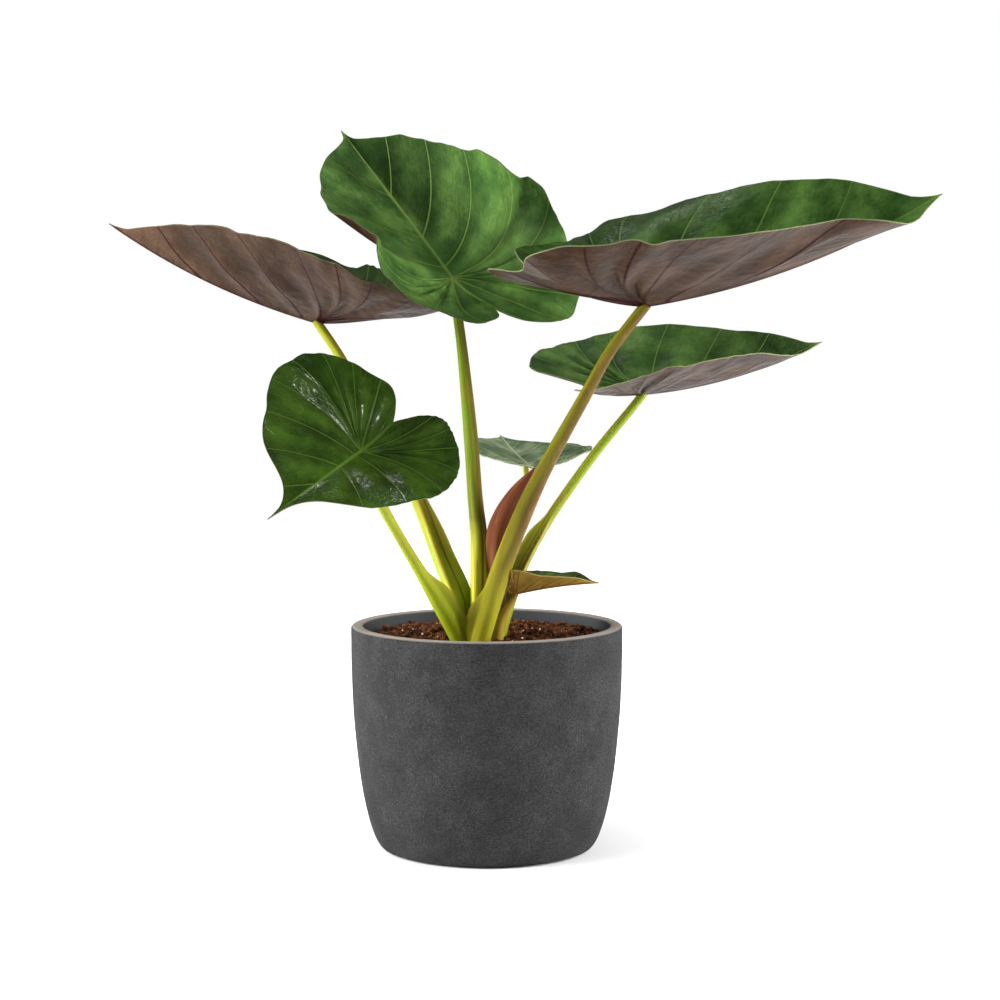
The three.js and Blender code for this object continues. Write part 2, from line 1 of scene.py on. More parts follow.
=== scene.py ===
# A potted alocasia: the finished surfaces of the leaves, stalks, potting mix and planter.
# Shapes are worked out in millimetres from the same driving values as the solids, and are turned
# into metres when a mesh is made. Z is up, and the plant is seen from the side of negative Y.
from math import cos, pi, radians, sin, sqrt

import bmesh
import bpy
import numpy as np
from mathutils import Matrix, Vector


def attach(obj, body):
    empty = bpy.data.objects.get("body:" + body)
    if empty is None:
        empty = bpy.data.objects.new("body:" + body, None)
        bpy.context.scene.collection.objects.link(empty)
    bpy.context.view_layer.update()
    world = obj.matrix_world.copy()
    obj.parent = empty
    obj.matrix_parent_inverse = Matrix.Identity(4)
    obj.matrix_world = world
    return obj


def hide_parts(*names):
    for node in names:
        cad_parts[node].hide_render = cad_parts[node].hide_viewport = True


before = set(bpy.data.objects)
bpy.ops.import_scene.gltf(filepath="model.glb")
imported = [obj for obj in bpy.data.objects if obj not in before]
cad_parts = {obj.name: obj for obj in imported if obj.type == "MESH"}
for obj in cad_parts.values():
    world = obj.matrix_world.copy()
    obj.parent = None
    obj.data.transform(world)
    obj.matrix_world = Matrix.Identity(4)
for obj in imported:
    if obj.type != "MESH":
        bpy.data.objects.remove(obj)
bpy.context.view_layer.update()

MM = 0.001
BODY = "root"

# ---- driving values

CAMERA = {"aim": (13.2, 0, 350), "distance": 2500, "pitch": 4.67, "lens": 90, "sensor": 36}

POT = {
    "radius": 136.2,
    "foot_radius": 101.9,
    "height": 224.8,
    "curve_top": 204,  # height at which the wall has reached its full radius
    "belly": 1.936,  # how early the wall turns upright
    "flare": 1.943,  # how fast it leaves the foot
    "wall": 13.5,
    "floor": 16,
    "rim_round": 3,
    "foot_round": 2,
    "segments": 288,
    "unevenness": 0.22,  # of the hand-finished outer wall
}

SOIL = {"top": 212, "relief": 3.2, "lumps": 90, "gap": 0.3, "rings": 60, "segments": 180, "seed": 7}

# Thickness of a blade, the rib under its middle, the side veins of each half, and the relief.
BLADE = {
    "thickness": 1.2,
    "rib_height": 1.9,
    "rib_half_width": 4,
    "veins": 10,
    "bow": 0.5,  # how far the side veins bow back towards the lobe
    "gather": 2.2,  # how closely they gather near the stalk
    "quilting": 2.1,  # height of the bulges between them
    "folds": 0.7,  # height of the broad uneven folds
    "vein_width": 1.25,
    "vein_height": 0.7,
    "vein_sink": 0.45,
    "ladder_spacing": 14,
    "ladder_height": 0.75,
    "full_half_width": 130,  # of a leaf that has the relief at the heights given here
}
# How strong each side vein is, from the tip to the notch. The vein into the lobe is a rib.
VEIN_STRENGTH = (0.8, 0.9, 1, 1, 1, 1, 0.9, 0.8, 1.6, 0.4, 0.4)

# Half outline of a leaf in shares of its own size, from the tip round the lobe to the notch:
# along the midrib (front length ahead of the stalk, lobe length behind it), and across it.
OUTLINE_ALONG = (1, 0.955, 0.9, 0.8, 0.64, 0.44, 0.2, -0.05, -0.35, -0.65, -0.88, -0.99, -0.93,
                 -0.72, -0.5)
OUTLINE_ACROSS = (0, 0.012, 0.045, 0.19, 0.44, 0.7, 0.91, 1, 0.985, 0.83, 0.58, 0.34, 0.15, 0.045, 0)

# One entry a leaf. junction: where the stalk meets the blade. azimuth, pitch and roll point the
# blade (degrees). front, lobe and half_width are its lengths. sinus: how far the notch stays from
# the stalk, in shares of the lobe. fold: degrees of the V across the midrib (both halves, then
# more on the left, more towards the tip, more towards the lobes). curl: the same for the curving
# of each half from midrib to margin. bend: degrees of bow along the front and along the lobes.
# reach and lift shape the margin of the left and the right half from tip to notch: outwards in
# shares, upwards in mm.
# twist: degrees that it turns about the midrib up to the tip, and the other way at the lobes.
# tail: how far the tip runs on, or is blunted if below 0. throat: how high the blade arches just
# behind the stalk. shoulder: how much fuller each half is near its tip. wave, waves and
# wave_phase: height, number and start of the broad waves of the margin. ruffle: height of its
# small waves. crinkle: its share of the fine folds, 1 unless given. seed: of its uneven parts.
LEAVES = {
    "a": dict(
        junction=(-118, -150, 407), azimuth=-116, pitch=-16.7, roll=31,
        front=165, lobe=87, half_width=102, sinus=0.71,
        fold=(17, -2, 4, 12), curl=(-9, 2, -10, 19), bend=(1, 26), twist=-2,
        tail=11, throat=0, shoulder=-8, crinkle=0.45,
        reach=((1.03, 1, 0.99, 0.93, 0.91, 0.92, 0.98, 0.91),
               (0.97, 1.07, 1.04, 1.09, 1.03, 1.02, 0.99, 1.06)),
        lift=((5, 0, 2, 0, -2, 0, -4, -2), (0, -6, 2, 1, 4, 2, 0, 5)),
        wave=1.5, waves=7, wave_phase=0.4, ruffle=0.5, seed=11,
    ),
    "b": dict(
        junction=(-175, 80, 527.4), azimuth=172, pitch=15.3, roll=-15.6,
        front=250, lobe=131, half_width=130, sinus=0.63,
        fold=(23, -13, 19, -27), curl=(15, -2, 1, 37), bend=(20, 43), twist=9,
        tail=-3, throat=9, shoulder=0,
        reach=((0.93, 1.04, 0.99, 1.01, 1.03, 1.07, 1.04, 1),
               (1, 1.02, 1, 0.97, 0.99, 1, 1, 1)),
        lift=((7, -1, -1, 1, 2, 4, -2, 1), (0, 2, 2, -1, 3, 1, 0, 1)),
        wave=1.6, waves=8, wave_phase=1.1, ruffle=0.6, seed=12,
    ),
    "c": dict(
        junction=(-36, 50, 572), azimuth=130, pitch=40.4, roll=19.7,
        front=255, lobe=111, half_width=137, sinus=0.53,
        fold=(19, -2, -6, -43), curl=(65, -11, -3, -6), bend=(-4, 49), twist=-25,
        tail=-5, throat=3, shoulder=0,
        reach=((1.15, 1.04, 1.03, 0.98, 0.96, 1.01, 1.01, 0.97),
               (1.11, 0.97, 0.99, 1.06, 0.95, 1.06, 1.07, 1.05)),
        lift=((16, 2, -4, 2, -2, 2, -3, -1), (-3, -5, -3, -2, 0, -1, 1, -8)),
        wave=2.4, waves=8.5, wave_phase=0.9, ruffle=0.9, seed=13,
    ),
    "d": dict(
        junction=(153, -95, 545.7), azimuth=9, pitch=8.6, roll=7.8,
        front=320, lobe=151, half_width=172, sinus=0.68,
        fold=(36, 28, 5, -31), curl=(-18, -31, 3, 32), bend=(23, 51), twist=3,
        tail=-5, throat=8.5, shoulder=3,
        reach=((0.9, 1.03, 1.03, 0.99, 0.98, 1, 0.99, 0.98),
               (1.45, 0.96, 0.97, 0.96, 1.04, 1.12, 0.89, 1.15)),
        lift=((19, 8, -3, -5, -3, 2, 2, 2), (-22, 1, -5, -3, 4, -2, -1, -13)),
        wave=1.2, waves=9, wave_phase=2.2, ruffle=0.35, seed=14,
    ),
    "e": dict(
        junction=(161, 80, 454), azimuth=25, pitch=3.3, roll=-14.1,
        front=221, lobe=101, half_width=121, sinus=0.47,
        fold=(18, -2, 11, -11), curl=(11, -12, 5, 4), bend=(22, 15), twist=0,
        tail=-5, throat=0, shoulder=4,
        reach=((0.85, 1.03, 1.05, 0.97, 0.98, 1.07, 1.09, 0.98),
               (1.01, 1.01, 0.98, 0.98, 1.01, 1.01, 0.99, 0.96)),
        lift=((11, 5, 2, -2, -1, 1, -1, 7), (-5, 0, 1, -2, 2, 1, -1, 1)),
        wave=0.6, waves=7.5, wave_phase=0.2, ruffle=0.3, seed=15,
    ),
    "f": dict(
        junction=(40, 130, 378), azimuth=106, pitch=10, roll=-3,
        front=103, lobe=53, half_width=70, sinus=0.49,
        fold=(18, 0, -8, 0), curl=(-1, -1, -4, -2), bend=(8, 15), twist=1,
        tail=0, throat=0, shoulder=0,
        reach=((1, 1, 1.02, 1.01, 0.99, 1, 1, 1),
               (1, 1, 1, 1, 1.01, 1, 0.99, 1)),
        lift=((0, 1, 0, 1, -3, -5, -4, 0), (-1, 0, 0, 0, 0, 1, -1, 0)),
        wave=0.8, waves=6, wave_phase=0.7, ruffle=0.4, seed=16,
    ),
    "g": dict(
        junction=(30, -36, 260), azimuth=1, pitch=13, roll=2,
        front=82, lobe=9, half_width=27, sinus=0.5,
        fold=(50, 0, -3, -1), curl=(2, 0, -2, -1), bend=(-11, 18), twist=1,
        tail=0, throat=0, shoulder=0,
        reach=((0.98, 1.02, 0.99, 1, 1, 1, 1, 1),
               (1, 1, 0.99, 1.01, 1, 1, 1, 1)),
        lift=((6, 0, 0, 0, 0, 0, 0, 0), (1, -2, -2, 4, -1, 0, 0, 0)),
        wave=0.6, waves=5, wave_phase=0, ruffle=0.3, seed=17,
    ),
}

# Stalks from the corm up: points x, y, z and the radius there. The blade's junction is the last
# point and gets the radius neck. faces: the compass side (degrees) of the channel. The sheath's
# two wings stand out by width below top, and open over rise. tones: its colours from the soil to
# the blade; the lowest tones are partly the stalk's own paler base and partly painted light, made
# bright to light up the shaded lower stalks. blush: another colour, the compass side it lies on
# and its share there. lips: how much the wings take the colour of their lips, 0.45 unless given.
STALKS = {
    "d": dict(
        route=((-14, -38, 180, 9.5), (-7, -41, 214, 10.5), (7, -45, 262, 10.4), (20, -49, 301, 9.6),
               (38, -55, 346, 9), (58.8, -63, 390, 7.4), (97.6, -76, 461, 6), (119.6, -85, 501, 5.4)),
        neck=5.4, faces=120, top=268, rise=30, width=8,
        tones=((168, 162, 40), (86, 88, 16), (98, 98, 18)), blush=((82, 49, 16), -20, 0.8),
    ),
    "c": dict(
        route=((-6, -20, 180, 8), (-6, -19, 213, 8.6), (-7, -18, 252, 9.3), (-7.8, -10, 311, 8.6),
               (-11.7, -3, 354, 7.6), (-16.9, 11, 422, 7), (-26.2, 34, 510, 5.2)),
        neck=4.8, faces=-60, top=330, rise=80, width=1.5,
        tones=((240, 255, 70), (92, 104, 28), (78, 100, 16)), blush=((84, 50, 26), 0, 0.6),
    ),
    "a": dict(
        route=((-18, -34, 180, 8.5), (-26, -39, 213, 9.2), (-46.5, -51, 253, 8.1),
               (-64.3, -66, 285, 5.9), (-82.2, -85, 318, 4.9), (-99, -108, 352, 4.9),
               (-110, -128, 380, 4.7)),
        neck=4.6, faces=60, top=285, rise=28, width=8,
        tones=((138, 150, 24), (128, 142, 26), (122, 138, 28)), blush=((136, 112, 34), 30, 0.4),
    ),
    "b": dict(
        route=((-22, -17, 180, 8.5), (-24, -16, 213, 9.2), (-28.4, -13, 251, 10.8), (-46, -4, 294, 9.2),
               (-67.5, 11, 347, 7.8), (-94, 27, 398, 6.1), (-124, 45, 446, 5.5), (-149, 63, 490, 4.9)),
        neck=4.8, faces=-40, top=362, rise=60, width=5,
        tones=((150, 176, 36), (122, 126, 24), (114, 118, 26)), blush=((106, 70, 30), 10, 0.5),
    ),
    "g": dict(
        route=((10, -38, 180, 6.3), (10, -38, 214, 6.6), (14.5, -37, 236, 5)),
        neck=2, faces=150, top=240, rise=20, width=1.5,
        tones=((150, 152, 46), (150, 142, 46), (146, 118, 44)), blush=((150, 100, 48), -20, 0.3),
    ),
    "e": dict(
        route=((12, -9, 180, 7), (11, -8, 209, 7.5), (24, 0, 254, 7), (39, 9, 289, 5.6),
               (62, 23, 328, 5), (86, 37, 362, 4.8), (112.8, 52, 397, 4.7), (148, 72, 438, 4.5)),
        neck=4.4, faces=220, top=334, rise=26, width=7,
        tones=((134, 140, 34), (108, 124, 28), (110, 128, 30)), blush=((160, 104, 44), 200, 0.15),
    ),
    "f": dict(
        route=((0, 0, 180, 5), (1, 1, 205, 5), (7, 5, 229, 5), (19, 26, 267, 4.6),
               (30, 56, 304, 4.2), (41, 92, 343, 3.8)),
        neck=3.2, faces=-90, top=280, rise=40, width=2,
        tones=((150, 164, 60), (146, 160, 58), (150, 162, 70)), blush=((140, 110, 60), 0, 0.4),
    ),
}
# The rolled new leaf, in the same form: its last point is its tip. lap: how far its outer edge
# stands off the roll, and turns: how far that edge winds round it.
FURLED = dict(
    route=((8, -21, 180, 5.5), (8, -21, 215, 6), (10, -21, 252, 8.5), (12, -20, 282, 13),
           (12, -20, 312, 14.5), (19, -20, 337, 12.5), (32, -20, 362, 7.5), (48, -20, 384, 0.8)),
    faces=200, top=370, rise=60, width=1.5,
    tones=((52, 38, 8), (76, 40, 16), (73, 32, 20)), blush=((100, 56, 40), 190, 0.55),
    lips=0.08, lap=0.1, turns=0.3,
)
# The channel up a stalk: its shape in shares of the radius and in radians, and its colours.
CHANNEL = {"depth": 0.16, "spread": 0.5, "wing_angle": 1.05, "wing_spread": 0.3,
           "dark": (66, 48, 22), "lip": (170, 118, 62)}
STALK_RINGS = 150
STALK_SIDES = 72
# A stalk stays this far below the middle of its blade, within reach of their junction.
JUNCTION = {"gap": 1.1, "reach": 22}

# One entry a kind of bit in the potting mix. x, y and z: shortest and longest size. clear: how far
# it stays off the stalks. tilt: how unevenly it lies, in radians. lift: how high its middle lies
# over the soil. jitter: how much its corners stray, in shares.
BITS = {
    "bark_chips": dict(count=1500, x=(3.5, 10), y=(2, 5), z=(0.8, 2.4), clear=1.5,
                       tilt=0.45, lift=1, jitter=0.16, seed=21),
    "crumbs": dict(count=1600, x=(1.2, 3.4), y=(1, 2.8), z=(0.8, 2.2), clear=0.8,
                   tilt=0.8, lift=1.3, jitter=0.2, seed=22),
    "fibres": dict(count=420, x=(7, 17), y=(2.5, 8), z=(0.5, 1.3), clear=3,
                   tilt=0.3, lift=2.2, jitter=0.02, seed=23),
    "perlite": dict(count=80, x=(0.9, 3), y=(0.8, 2.6), z=(0.7, 2), clear=1,
                    tilt=1, lift=1.9, jitter=0.2, seed=24),
}
# Corners of a chip of bark in halves of its size: six below, then six above.
CHIP_POINTS = ((-1, -0.6, -0.7), (-0.2, -1, -1), (0.9, -0.7, -0.8), (1, 0.5, -0.7), (0.1, 1, -1),
               (-0.9, 0.7, -0.8), (-0.8, -0.5, 0.8), (0, -0.9, 1), (0.8, -0.5, 0.7), (0.7, 0.5, 1),
               (0.1, 0.9, 0.7), (-0.8, 0.6, 1))

# ---- small tools


def linear(colour):
    """The linear RGBA colour of an 8-bit one."""
    shares = [channel / 255 for channel in colour]
    return tuple(s / 12.92 if s < 0.04045 else ((s + 0.055) / 1.055) ** 2.4 for s in shares) + (1,)


def through(knots, values, t):
    """Value at t of a smooth curve that passes through the values at the knots."""
    knots = np.asarray(knots, float)
    values = np.asarray(values, float)
    count = len(knots)
    i = np.clip(np.searchsorted(knots, t, side="left") - 1, 0, count - 2)
    before = np.maximum(np.arange(count) - 1, 0)
    after = np.minimum(np.arange(count) + 1, count - 1)
    slopes = (values[after] - values[before]) / (knots[after] - knots[before])
    span = knots[i + 1] - knots[i]
    f = (t - knots[i]) / span
    start = values[i]
    end = values[i + 1]
    leave = slopes[i] * span
    arrive = slopes[i + 1] * span
    cubic = 2 * (start - end) + leave + arrive
    square = 3 * (end - start) - 2 * leave - arrive
    return start + f * (leave + f * (square + f * cubic))


def soft_step(x):
    t = np.clip(x, 0, 1)
    return t * t * (3 - 2 * t)


def unit(vectors):
    return vectors / np.maximum(np.linalg.norm(vectors, axis=-1, keepdims=True), 1e-12)


def ripples(seed, count, *coordinates):
    """A smooth random field between about -1 and 1: waves of random direction and phase."""
    random = np.random.default_rng(seed)
    total = 0
    for _ in range(count):
        phase = random.uniform(0, 2 * pi)
        pull = random.normal(size=len(coordinates))
        total = total + np.sin(sum(p * c for p, c in zip(pull, coordinates)) + phase)
    return total / sqrt(count)


def add_object(name, data):
    """An object of the scene that shows the mesh, light or camera."""
    thing = bpy.data.objects.new(name, data)
    bpy.context.scene.collection.objects.link(thing)
    return thing


def add_piece(name, points, faces, looks, replaced=None, look_of_face=None, values=None,
              merge=False, smooth=True):
    """Makes a mesh from points in mm, gives it its looks, and hangs it on the body."""
    mesh = bpy.data.meshes.new(name)
    mesh.from_pydata((np.asarray(points) * MM).tolist(), [], faces)
    for key, numbers in (values or {}).items():
        numbers = np.asarray(numbers, np.float32)
        kind = "FLOAT" if numbers.ndim == 1 else "FLOAT_COLOR"
        field = "value" if numbers.ndim == 1 else "color"
        mesh.attributes.new(key, kind, "POINT").data.foreach_set(field, numbers.ravel())
    if look_of_face is not None:
        mesh.polygons.foreach_set("material_index", look_of_face)
    for look in looks:
        mesh.materials.append(look)
    if merge:
        tidy_mesh(mesh)
    mesh.polygons.foreach_set("use_smooth", [smooth] * len(mesh.polygons))
    mesh.update()
    piece = add_object(name, mesh)
    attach(piece, BODY)
    if replaced:
        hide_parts(replaced)


def tidy_mesh(mesh):
    """Joins doubled corners and turns every face outwards."""
    shape = bmesh.new()
    shape.from_mesh(mesh)
    bmesh.ops.remove_doubles(shape, verts=shape.verts, dist=2e-6)
    bmesh.ops.dissolve_degenerate(shape, edges=shape.edges, dist=1e-7)
    bmesh.ops.recalc_face_normals(shape, faces=shape.faces)
    shape.to_mesh(mesh)
    shape.free()


def grid_faces(rows, columns, first=0, closed=False):
    """Quads of a grid of points stored row by row; closed joins the last column to the first."""
    row = np.arange(rows - 1)[:, None]
    column = np.arange(columns if closed else columns - 1)[None, :]
    following = (column + 1) % columns
    corners = [row * columns + column, row * columns + following,
               (row + 1) * columns + following, (row + 1) * columns + column]
    return (np.stack(np.broadcast_arrays(*corners), -1).reshape(-1, 4) + first).tolist()


def prism_faces(rings, sides):
    """Faces of a tube of rings, with one flat face over each of its ends."""
    last = (rings - 1) * sides
    ends = [range(sides)[::-1], range(last, last + sides)]
    return [*grid_faces(rings, sides, closed=True), *ends]


def tube_faces(rings, sides):
    """Faces of a tube of rings and of its two ends, whose middle points come after the rings."""
    faces = grid_faces(rings, sides, closed=True)
    low = rings * sides
    last = low - sides
    for i in range(sides):
        following = (i + 1) % sides
        faces.append([low, following, i])
        faces.append([low + 1, last + i, last + following])
    return faces


def lathe(profile, segments):
    """Points and faces of a profile turned about Z. The profile starts and ends on the axis."""
    profile = np.asarray(profile, float)
    angles = np.arange(segments) * 2 * pi / segments
    middle = profile[1:-1]
    rings = np.stack([
        middle[:, :1] * np.cos(angles), middle[:, :1] * np.sin(angles),
        np.repeat(middle[:, 1:], segments, 1),
    ], -1).reshape(-1, 3)
    points = np.vstack([rings, [0, 0, profile[0, 1]], [0, 0, profile[-1, 1]]])
    return points, tube_faces(len(middle), segments)


# ---- looks


class Nodes:
    """A tree of shader nodes. add gives the new node, and the others the output to go on with."""

    def __init__(self, tree):
        self.tree = tree

    def add(self, kind, feeds=None, **settings):
        node = self.tree.nodes.new("ShaderNode" + kind)
        for key, value in settings.items():
            setattr(node, key, value)
        for key, value in (feeds or {}).items():
            self.feed(node.inputs[key], value)
        return node

    def feed(self, socket, value):
        if isinstance(value, bpy.types.NodeSocket):
            self.tree.links.new(value, socket)
        else:
            socket.default_value = value

    def math(self, operation, a, b):
        return self.add("Math", {0: a, 1: b}, operation=operation).outputs[0]

    def step(self, value, low, high):
        """0 at low, 1 at high, and a soft step between."""
        feeds = {"Value": value, "From Min": low, "From Max": high}
        return self.add("MapRange", feeds, interpolation_type="SMOOTHSTEP").outputs[0]

    def span(self, value, low, high, start, end):
        """start at low and end at high, in a straight line between."""
        feeds = {"Value": value, "From Min": low, "From Max": high, "To Min": start, "To Max": end}
        return self.add("MapRange", feeds).outputs[0]


class Look(Nodes):
    """A material being built. Its colours are outputs, or 8-bit red, green and blue."""

    def __init__(self, name, **constants):
        self.material = bpy.data.materials.new(name)
        self.material.use_nodes = True
        super().__init__(self.material.node_tree)
        self.shader = self.tree.nodes["Principled BSDF"]
        for key, value in constants.items():
            self.shader.inputs[key.replace("_", " ")].default_value = value
        self.place = self.add("TexCoord").outputs["Object"]

    def value(self, name):
        return self.add("Attribute", attribute_name=name).outputs["Fac"]

    def colour(self, name):
        return self.add("Attribute", attribute_name=name).outputs["Color"]

    def rise(self, name, low, high):
        return self.step(self.value(name), low, high)

    def stretched(self, scale):
        return self.add("Mapping", {"Vector": self.place, "Scale": scale}).outputs[0]

    def noise(self, size_mm, detail=3, roughness=0.55, place=None):
        """Cloudy noise from 0 to 1, with features of about that size."""
        feeds = {"Vector": place or self.place, "Scale": 1 / (size_mm * MM), "Detail": detail,
                 "Roughness": roughness}
        return self.add("TexNoise", feeds).outputs[0]

    def grain(self, size_mm, detail, roughness):
        """Noise that runs along the veins and dies away at the tip, where they crowd together."""
        noise = self.noise(size_mm, detail, roughness, self.colour("flow"))
        swing = self.math("SUBTRACT", noise, 0.5)
        swing = self.math("MULTIPLY", swing, self.rise("tipward", 0.96, 0.72))
        return self.math("ADD", swing, 0.5)

    def cells(self, size_mm, feature="DISTANCE_TO_EDGE"):
        feeds = {"Vector": self.place, "Scale": 1 / (size_mm * MM)}
        return self.add("TexVoronoi", feeds, feature=feature).outputs["Distance"]

    def cross_veins(self):
        return self.math("ABSOLUTE", self.math("SINE", self.value("ladder"), 0), 0)

    def mix(self, share, first, second):
        first, second = (linear(c) if isinstance(c, tuple) else c for c in (first, second))
        return self.add("Mix", {0: share, 6: first, 7: second}, data_type="RGBA").outputs[2]

    def cover(self, colour, *spots):
        """Lays spots over the colour: where they are, how strong they are, and their own colour."""
        for value, strength, other in spots:
            colour = self.mix(self.math("MULTIPLY", value, strength), colour, other)
        return colour

    def shade(self, colour, *spots):
        """Darkens or brightens the colour: by low where a value is 0, and by high where it is 1."""
        for low, high, value in spots:
            share = self.span(value, 0, 1, low, high)
            colour = self.add("VectorMath", {0: colour, "Scale": share}, operation="SCALE").outputs[0]
        return colour

    def bump(self, *layers):
        """Relief of one or more layers, each with its heights from 0 to 1 and its depth in mm."""
        normal = None
        for height, depth_mm in layers:
            feeds = {"Height": height, "Distance": depth_mm * MM, "Strength": 1}
            if normal:
                feeds["Normal"] = normal
            normal = self.add("Bump", feeds).outputs[0]
        return normal

    def gloss(self, size_mm, smooth, rough):
        return self.span(self.noise(size_mm, 3), 0.3, 0.7, smooth, rough)

    def finish(self, colour, normal=None, roughness=None):
        for key, value in (("Base Color", colour), ("Normal", normal), ("Roughness", roughness)):
            if value:
                self.feed(self.shader.inputs[key], value)
        return self.material


def upper_look(name, deep, fresh, vein, margin, roughness, lobe_painted_light, tip_painted_light, halves=(1, 1)):
    """Waxy green upper side: cloudy green, paler ribs and veins, and a margin of its own colour."""
    look = Look(name, Specular_IOR_Level=0.5 if roughness < 0.2 else 0.1)
    crease = look.step(look.grain(2.6, 2, 0.5), 0.56, 0.68)
    net = look.step(look.cells(5.5), 0, 0.09)
    green = look.mix(look.step(look.noise(46, 4), 0.34, 0.68), deep, fresh)
    green = look.shade(green,
                       # The lobes and the tip are painted paler or darker: painted light and shade.
                       (lobe_painted_light, tip_painted_light, look.rise("tipward", 0, 0.6)),
                       # One half is painted lighter and the other darker: painted light and shade from
                       # one side.
                       (halves[1], halves[0], look.value("left")),
                       (0.62, 1.38, look.noise(14, 4, 0.6)),
                       (0.62, 1.38, look.grain(4, 4, 0.65)),
                       # The colour is darkened in the creases: painted shade.
                       (1, 0.78, crease), (1.08, 1, net),
                       (1.1, 1, look.step(look.cross_veins(), 0, 0.3)),
                       # Darker by the veins and lighter on the bulges between them: painted shade in
                       # the valleys and painted light on the bulges, partly darker tissue by the veins.
                       (0.74, 1.22, look.value("bulge")),
                       (1, 0.88, look.rise("vein_share", 3, 1)))
    green = look.cover(green, (look.rise("vein_share", 1.25, 0.3), 0.6, vein),
                       (look.rise("rib_share", 0.75, 0.25), 0.75, vein),
                       (look.rise("edge", 0.5, 0), 0.7, margin))
    relief = look.bump((net, 0.05), (look.noise(3.2), 0.5 * roughness),
                       (crease, -min(0.12, 0.5 * roughness)),
                       (look.grain(6, 3, 0.5), min(0.75, 1.2 * roughness)),
                       (look.noise(15, 2), min(1.8, 5 * roughness)))
    return look.finish(green, relief, look.gloss(22, 0.8 * roughness, 1.25 * roughness))


def under_look(name, brown, warm, vein, margin, roughness):
    """Satin underside: mauve-brown with dark ribs and veins, fine wrinkles and a pale margin."""
    look = Look(name, Specular_IOR_Level=0.05)
    net = look.step(look.cells(4.5), 0, 0.1)
    skin = look.mix(look.step(look.noise(52, 4), 0.32, 0.68), brown, warm)
    skin = look.shade(skin,
                      (0.6, 1.4, look.noise(14, 5, 0.6)),
                      (0.91, 1.09, look.grain(4, 4, 0.6)),
                      (0.88, 1, look.step(look.cross_veins(), 0, 0.35)),
                      # Lighter by the veins and darker between them: painted sheen along the veins and
                      # painted shade in the hollows.
                      (1.1, 0.9, look.value("bulge")),
                      # Brighter towards the tip: partly the paler young tissue there, partly painted
                      # light and sheen.
                      (0.9, 1.6, look.rise("tipward", 0.1, 1.1)),
                      (0.93, 1, net))
    skin = look.cover(skin, (look.rise("vein_share", 2.3, 1.1), 1, vein),
                      (look.rise("rib_share", 0.9, 0.35), 0.9, vein),
                      (look.rise("edge", 0.5, 0), 0.8, margin))
    relief = look.bump((net, 0.04), (look.noise(2.6, 4), 0.12), (look.grain(5, 3, 0.5), 0.2),
                       (look.noise(13, 2), 1.6))
    return look.finish(skin, relief, look.gloss(18, 0.85 * roughness, 1.2 * roughness))


def stalk_look(name, roughness):
    """Smooth fleshy skin with fine streaks along it and a few freckles."""
    look = Look(name, Specular_IOR_Level=0.15)
    streak = look.noise(2.2, 3, 0.6, look.colour("flow"))
    patch = look.step(look.noise(16, 3, 0.6, look.stretched((1, 1, 0.4))), 0.52, 0.72)
    freckle = look.step(look.noise(1.6, 2), 0.66, 0.74)
    skin = look.shade(look.colour("tint"), (0.66, 1.34, streak))
    skin = look.cover(skin, (patch, 0.35, (126, 92, 44)))
    skin = look.shade(skin, (1, 0.84, freckle))
    gloss = look.gloss(8, roughness - 0.05, roughness + 0.1)
    return look.finish(skin, look.bump((streak, 0.08)), gloss)


def pot_look():
    """Rough anthracite fibre-clay: grains, pits and light specks; smoother inside and by the rim."""
    look = Look("fibre_clay", Specular_IOR_Level=0.3)
    inside = look.value("inside")
    rim = look.value("rim")
    smooth = look.math("MAXIMUM", inside, rim)
    rough = look.span(smooth, 0, 1, 1, 0.25)
    grain = look.step(look.noise(2.1, 3, 0.6, look.stretched((1, 1, 1.7))), 0.36, 0.64)
    smear = look.noise(6, 3, 0.6, look.stretched((1, 1, 2)))
    height = look.math("MULTIPLY", grain, rough)
    pit = look.step(look.cells(5.2, "F1"), 0.11, 0.19)
    for filled in (look.step(look.noise(9, 2), 0.46, 0.52), look.step(smooth, 0.3, 0.6)):
        pit = look.math("MAXIMUM", pit, filled)
    speck = look.math("MULTIPLY", look.step(look.cells(3, "F1"), 0.16, 0.08),
                      look.step(look.noise(5, 2), 0.46, 0.56))
    clay = look.mix(look.step(look.noise(30, 5, 0.65), 0.35, 0.65), (40, 40, 41), (50, 50, 50))
    clay = look.shade(clay, (0.6, 1.4, look.math("ADD", height, look.span(rough, 0, 1, 0.5, 0))),
                      (0.86, 1.14, smear), (0.3, 1, pit))
    clay = look.cover(clay, (speck, 0.55, (130, 128, 124)), (inside, 0.85, (66, 68, 71)),
                      # The top of the rim is painted a lighter grey: a painted highlight along the rim.
                      (rim, 0.75, (150, 142, 134)))
    relief = look.bump((height, 0.55), (look.math("MULTIPLY", smear, rough), 0.6), (pit, 0.6))
    return look.finish(clay, relief, look.span(inside, 0, 1, 0.85, 0.5))


def earth_look(name, dark, brown, size_mm):
    """Damp potting mix of peat and bark."""
    look = Look(name, Roughness=0.82, Specular_IOR_Level=0.4)
    earth = look.mix(look.step(look.noise(size_mm, 4), 0.35, 0.65), dark, brown)
    earth = look.shade(earth, (0.5, 1.5, look.noise(size_mm / 6, 4, 0.7)))
    fibre = look.noise(1.1, 4, 0.7, look.stretched((0.3, 1, 1)))
    return look.finish(earth, look.bump((fibre, 0.8)))


def bit_look(name, dark, brown):
    """Bark, fibre or crumb: each piece has a tone of its own."""
    look = Look(name, Roughness=0.8, Specular_IOR_Level=0.4)
    grain = look.noise(0.9, 4, 0.7)
    skin = look.shade(look.mix(look.value("tone"), dark, brown), (0.55, 1.45, grain))
    return look.finish(skin, look.bump((grain, 0.4)))


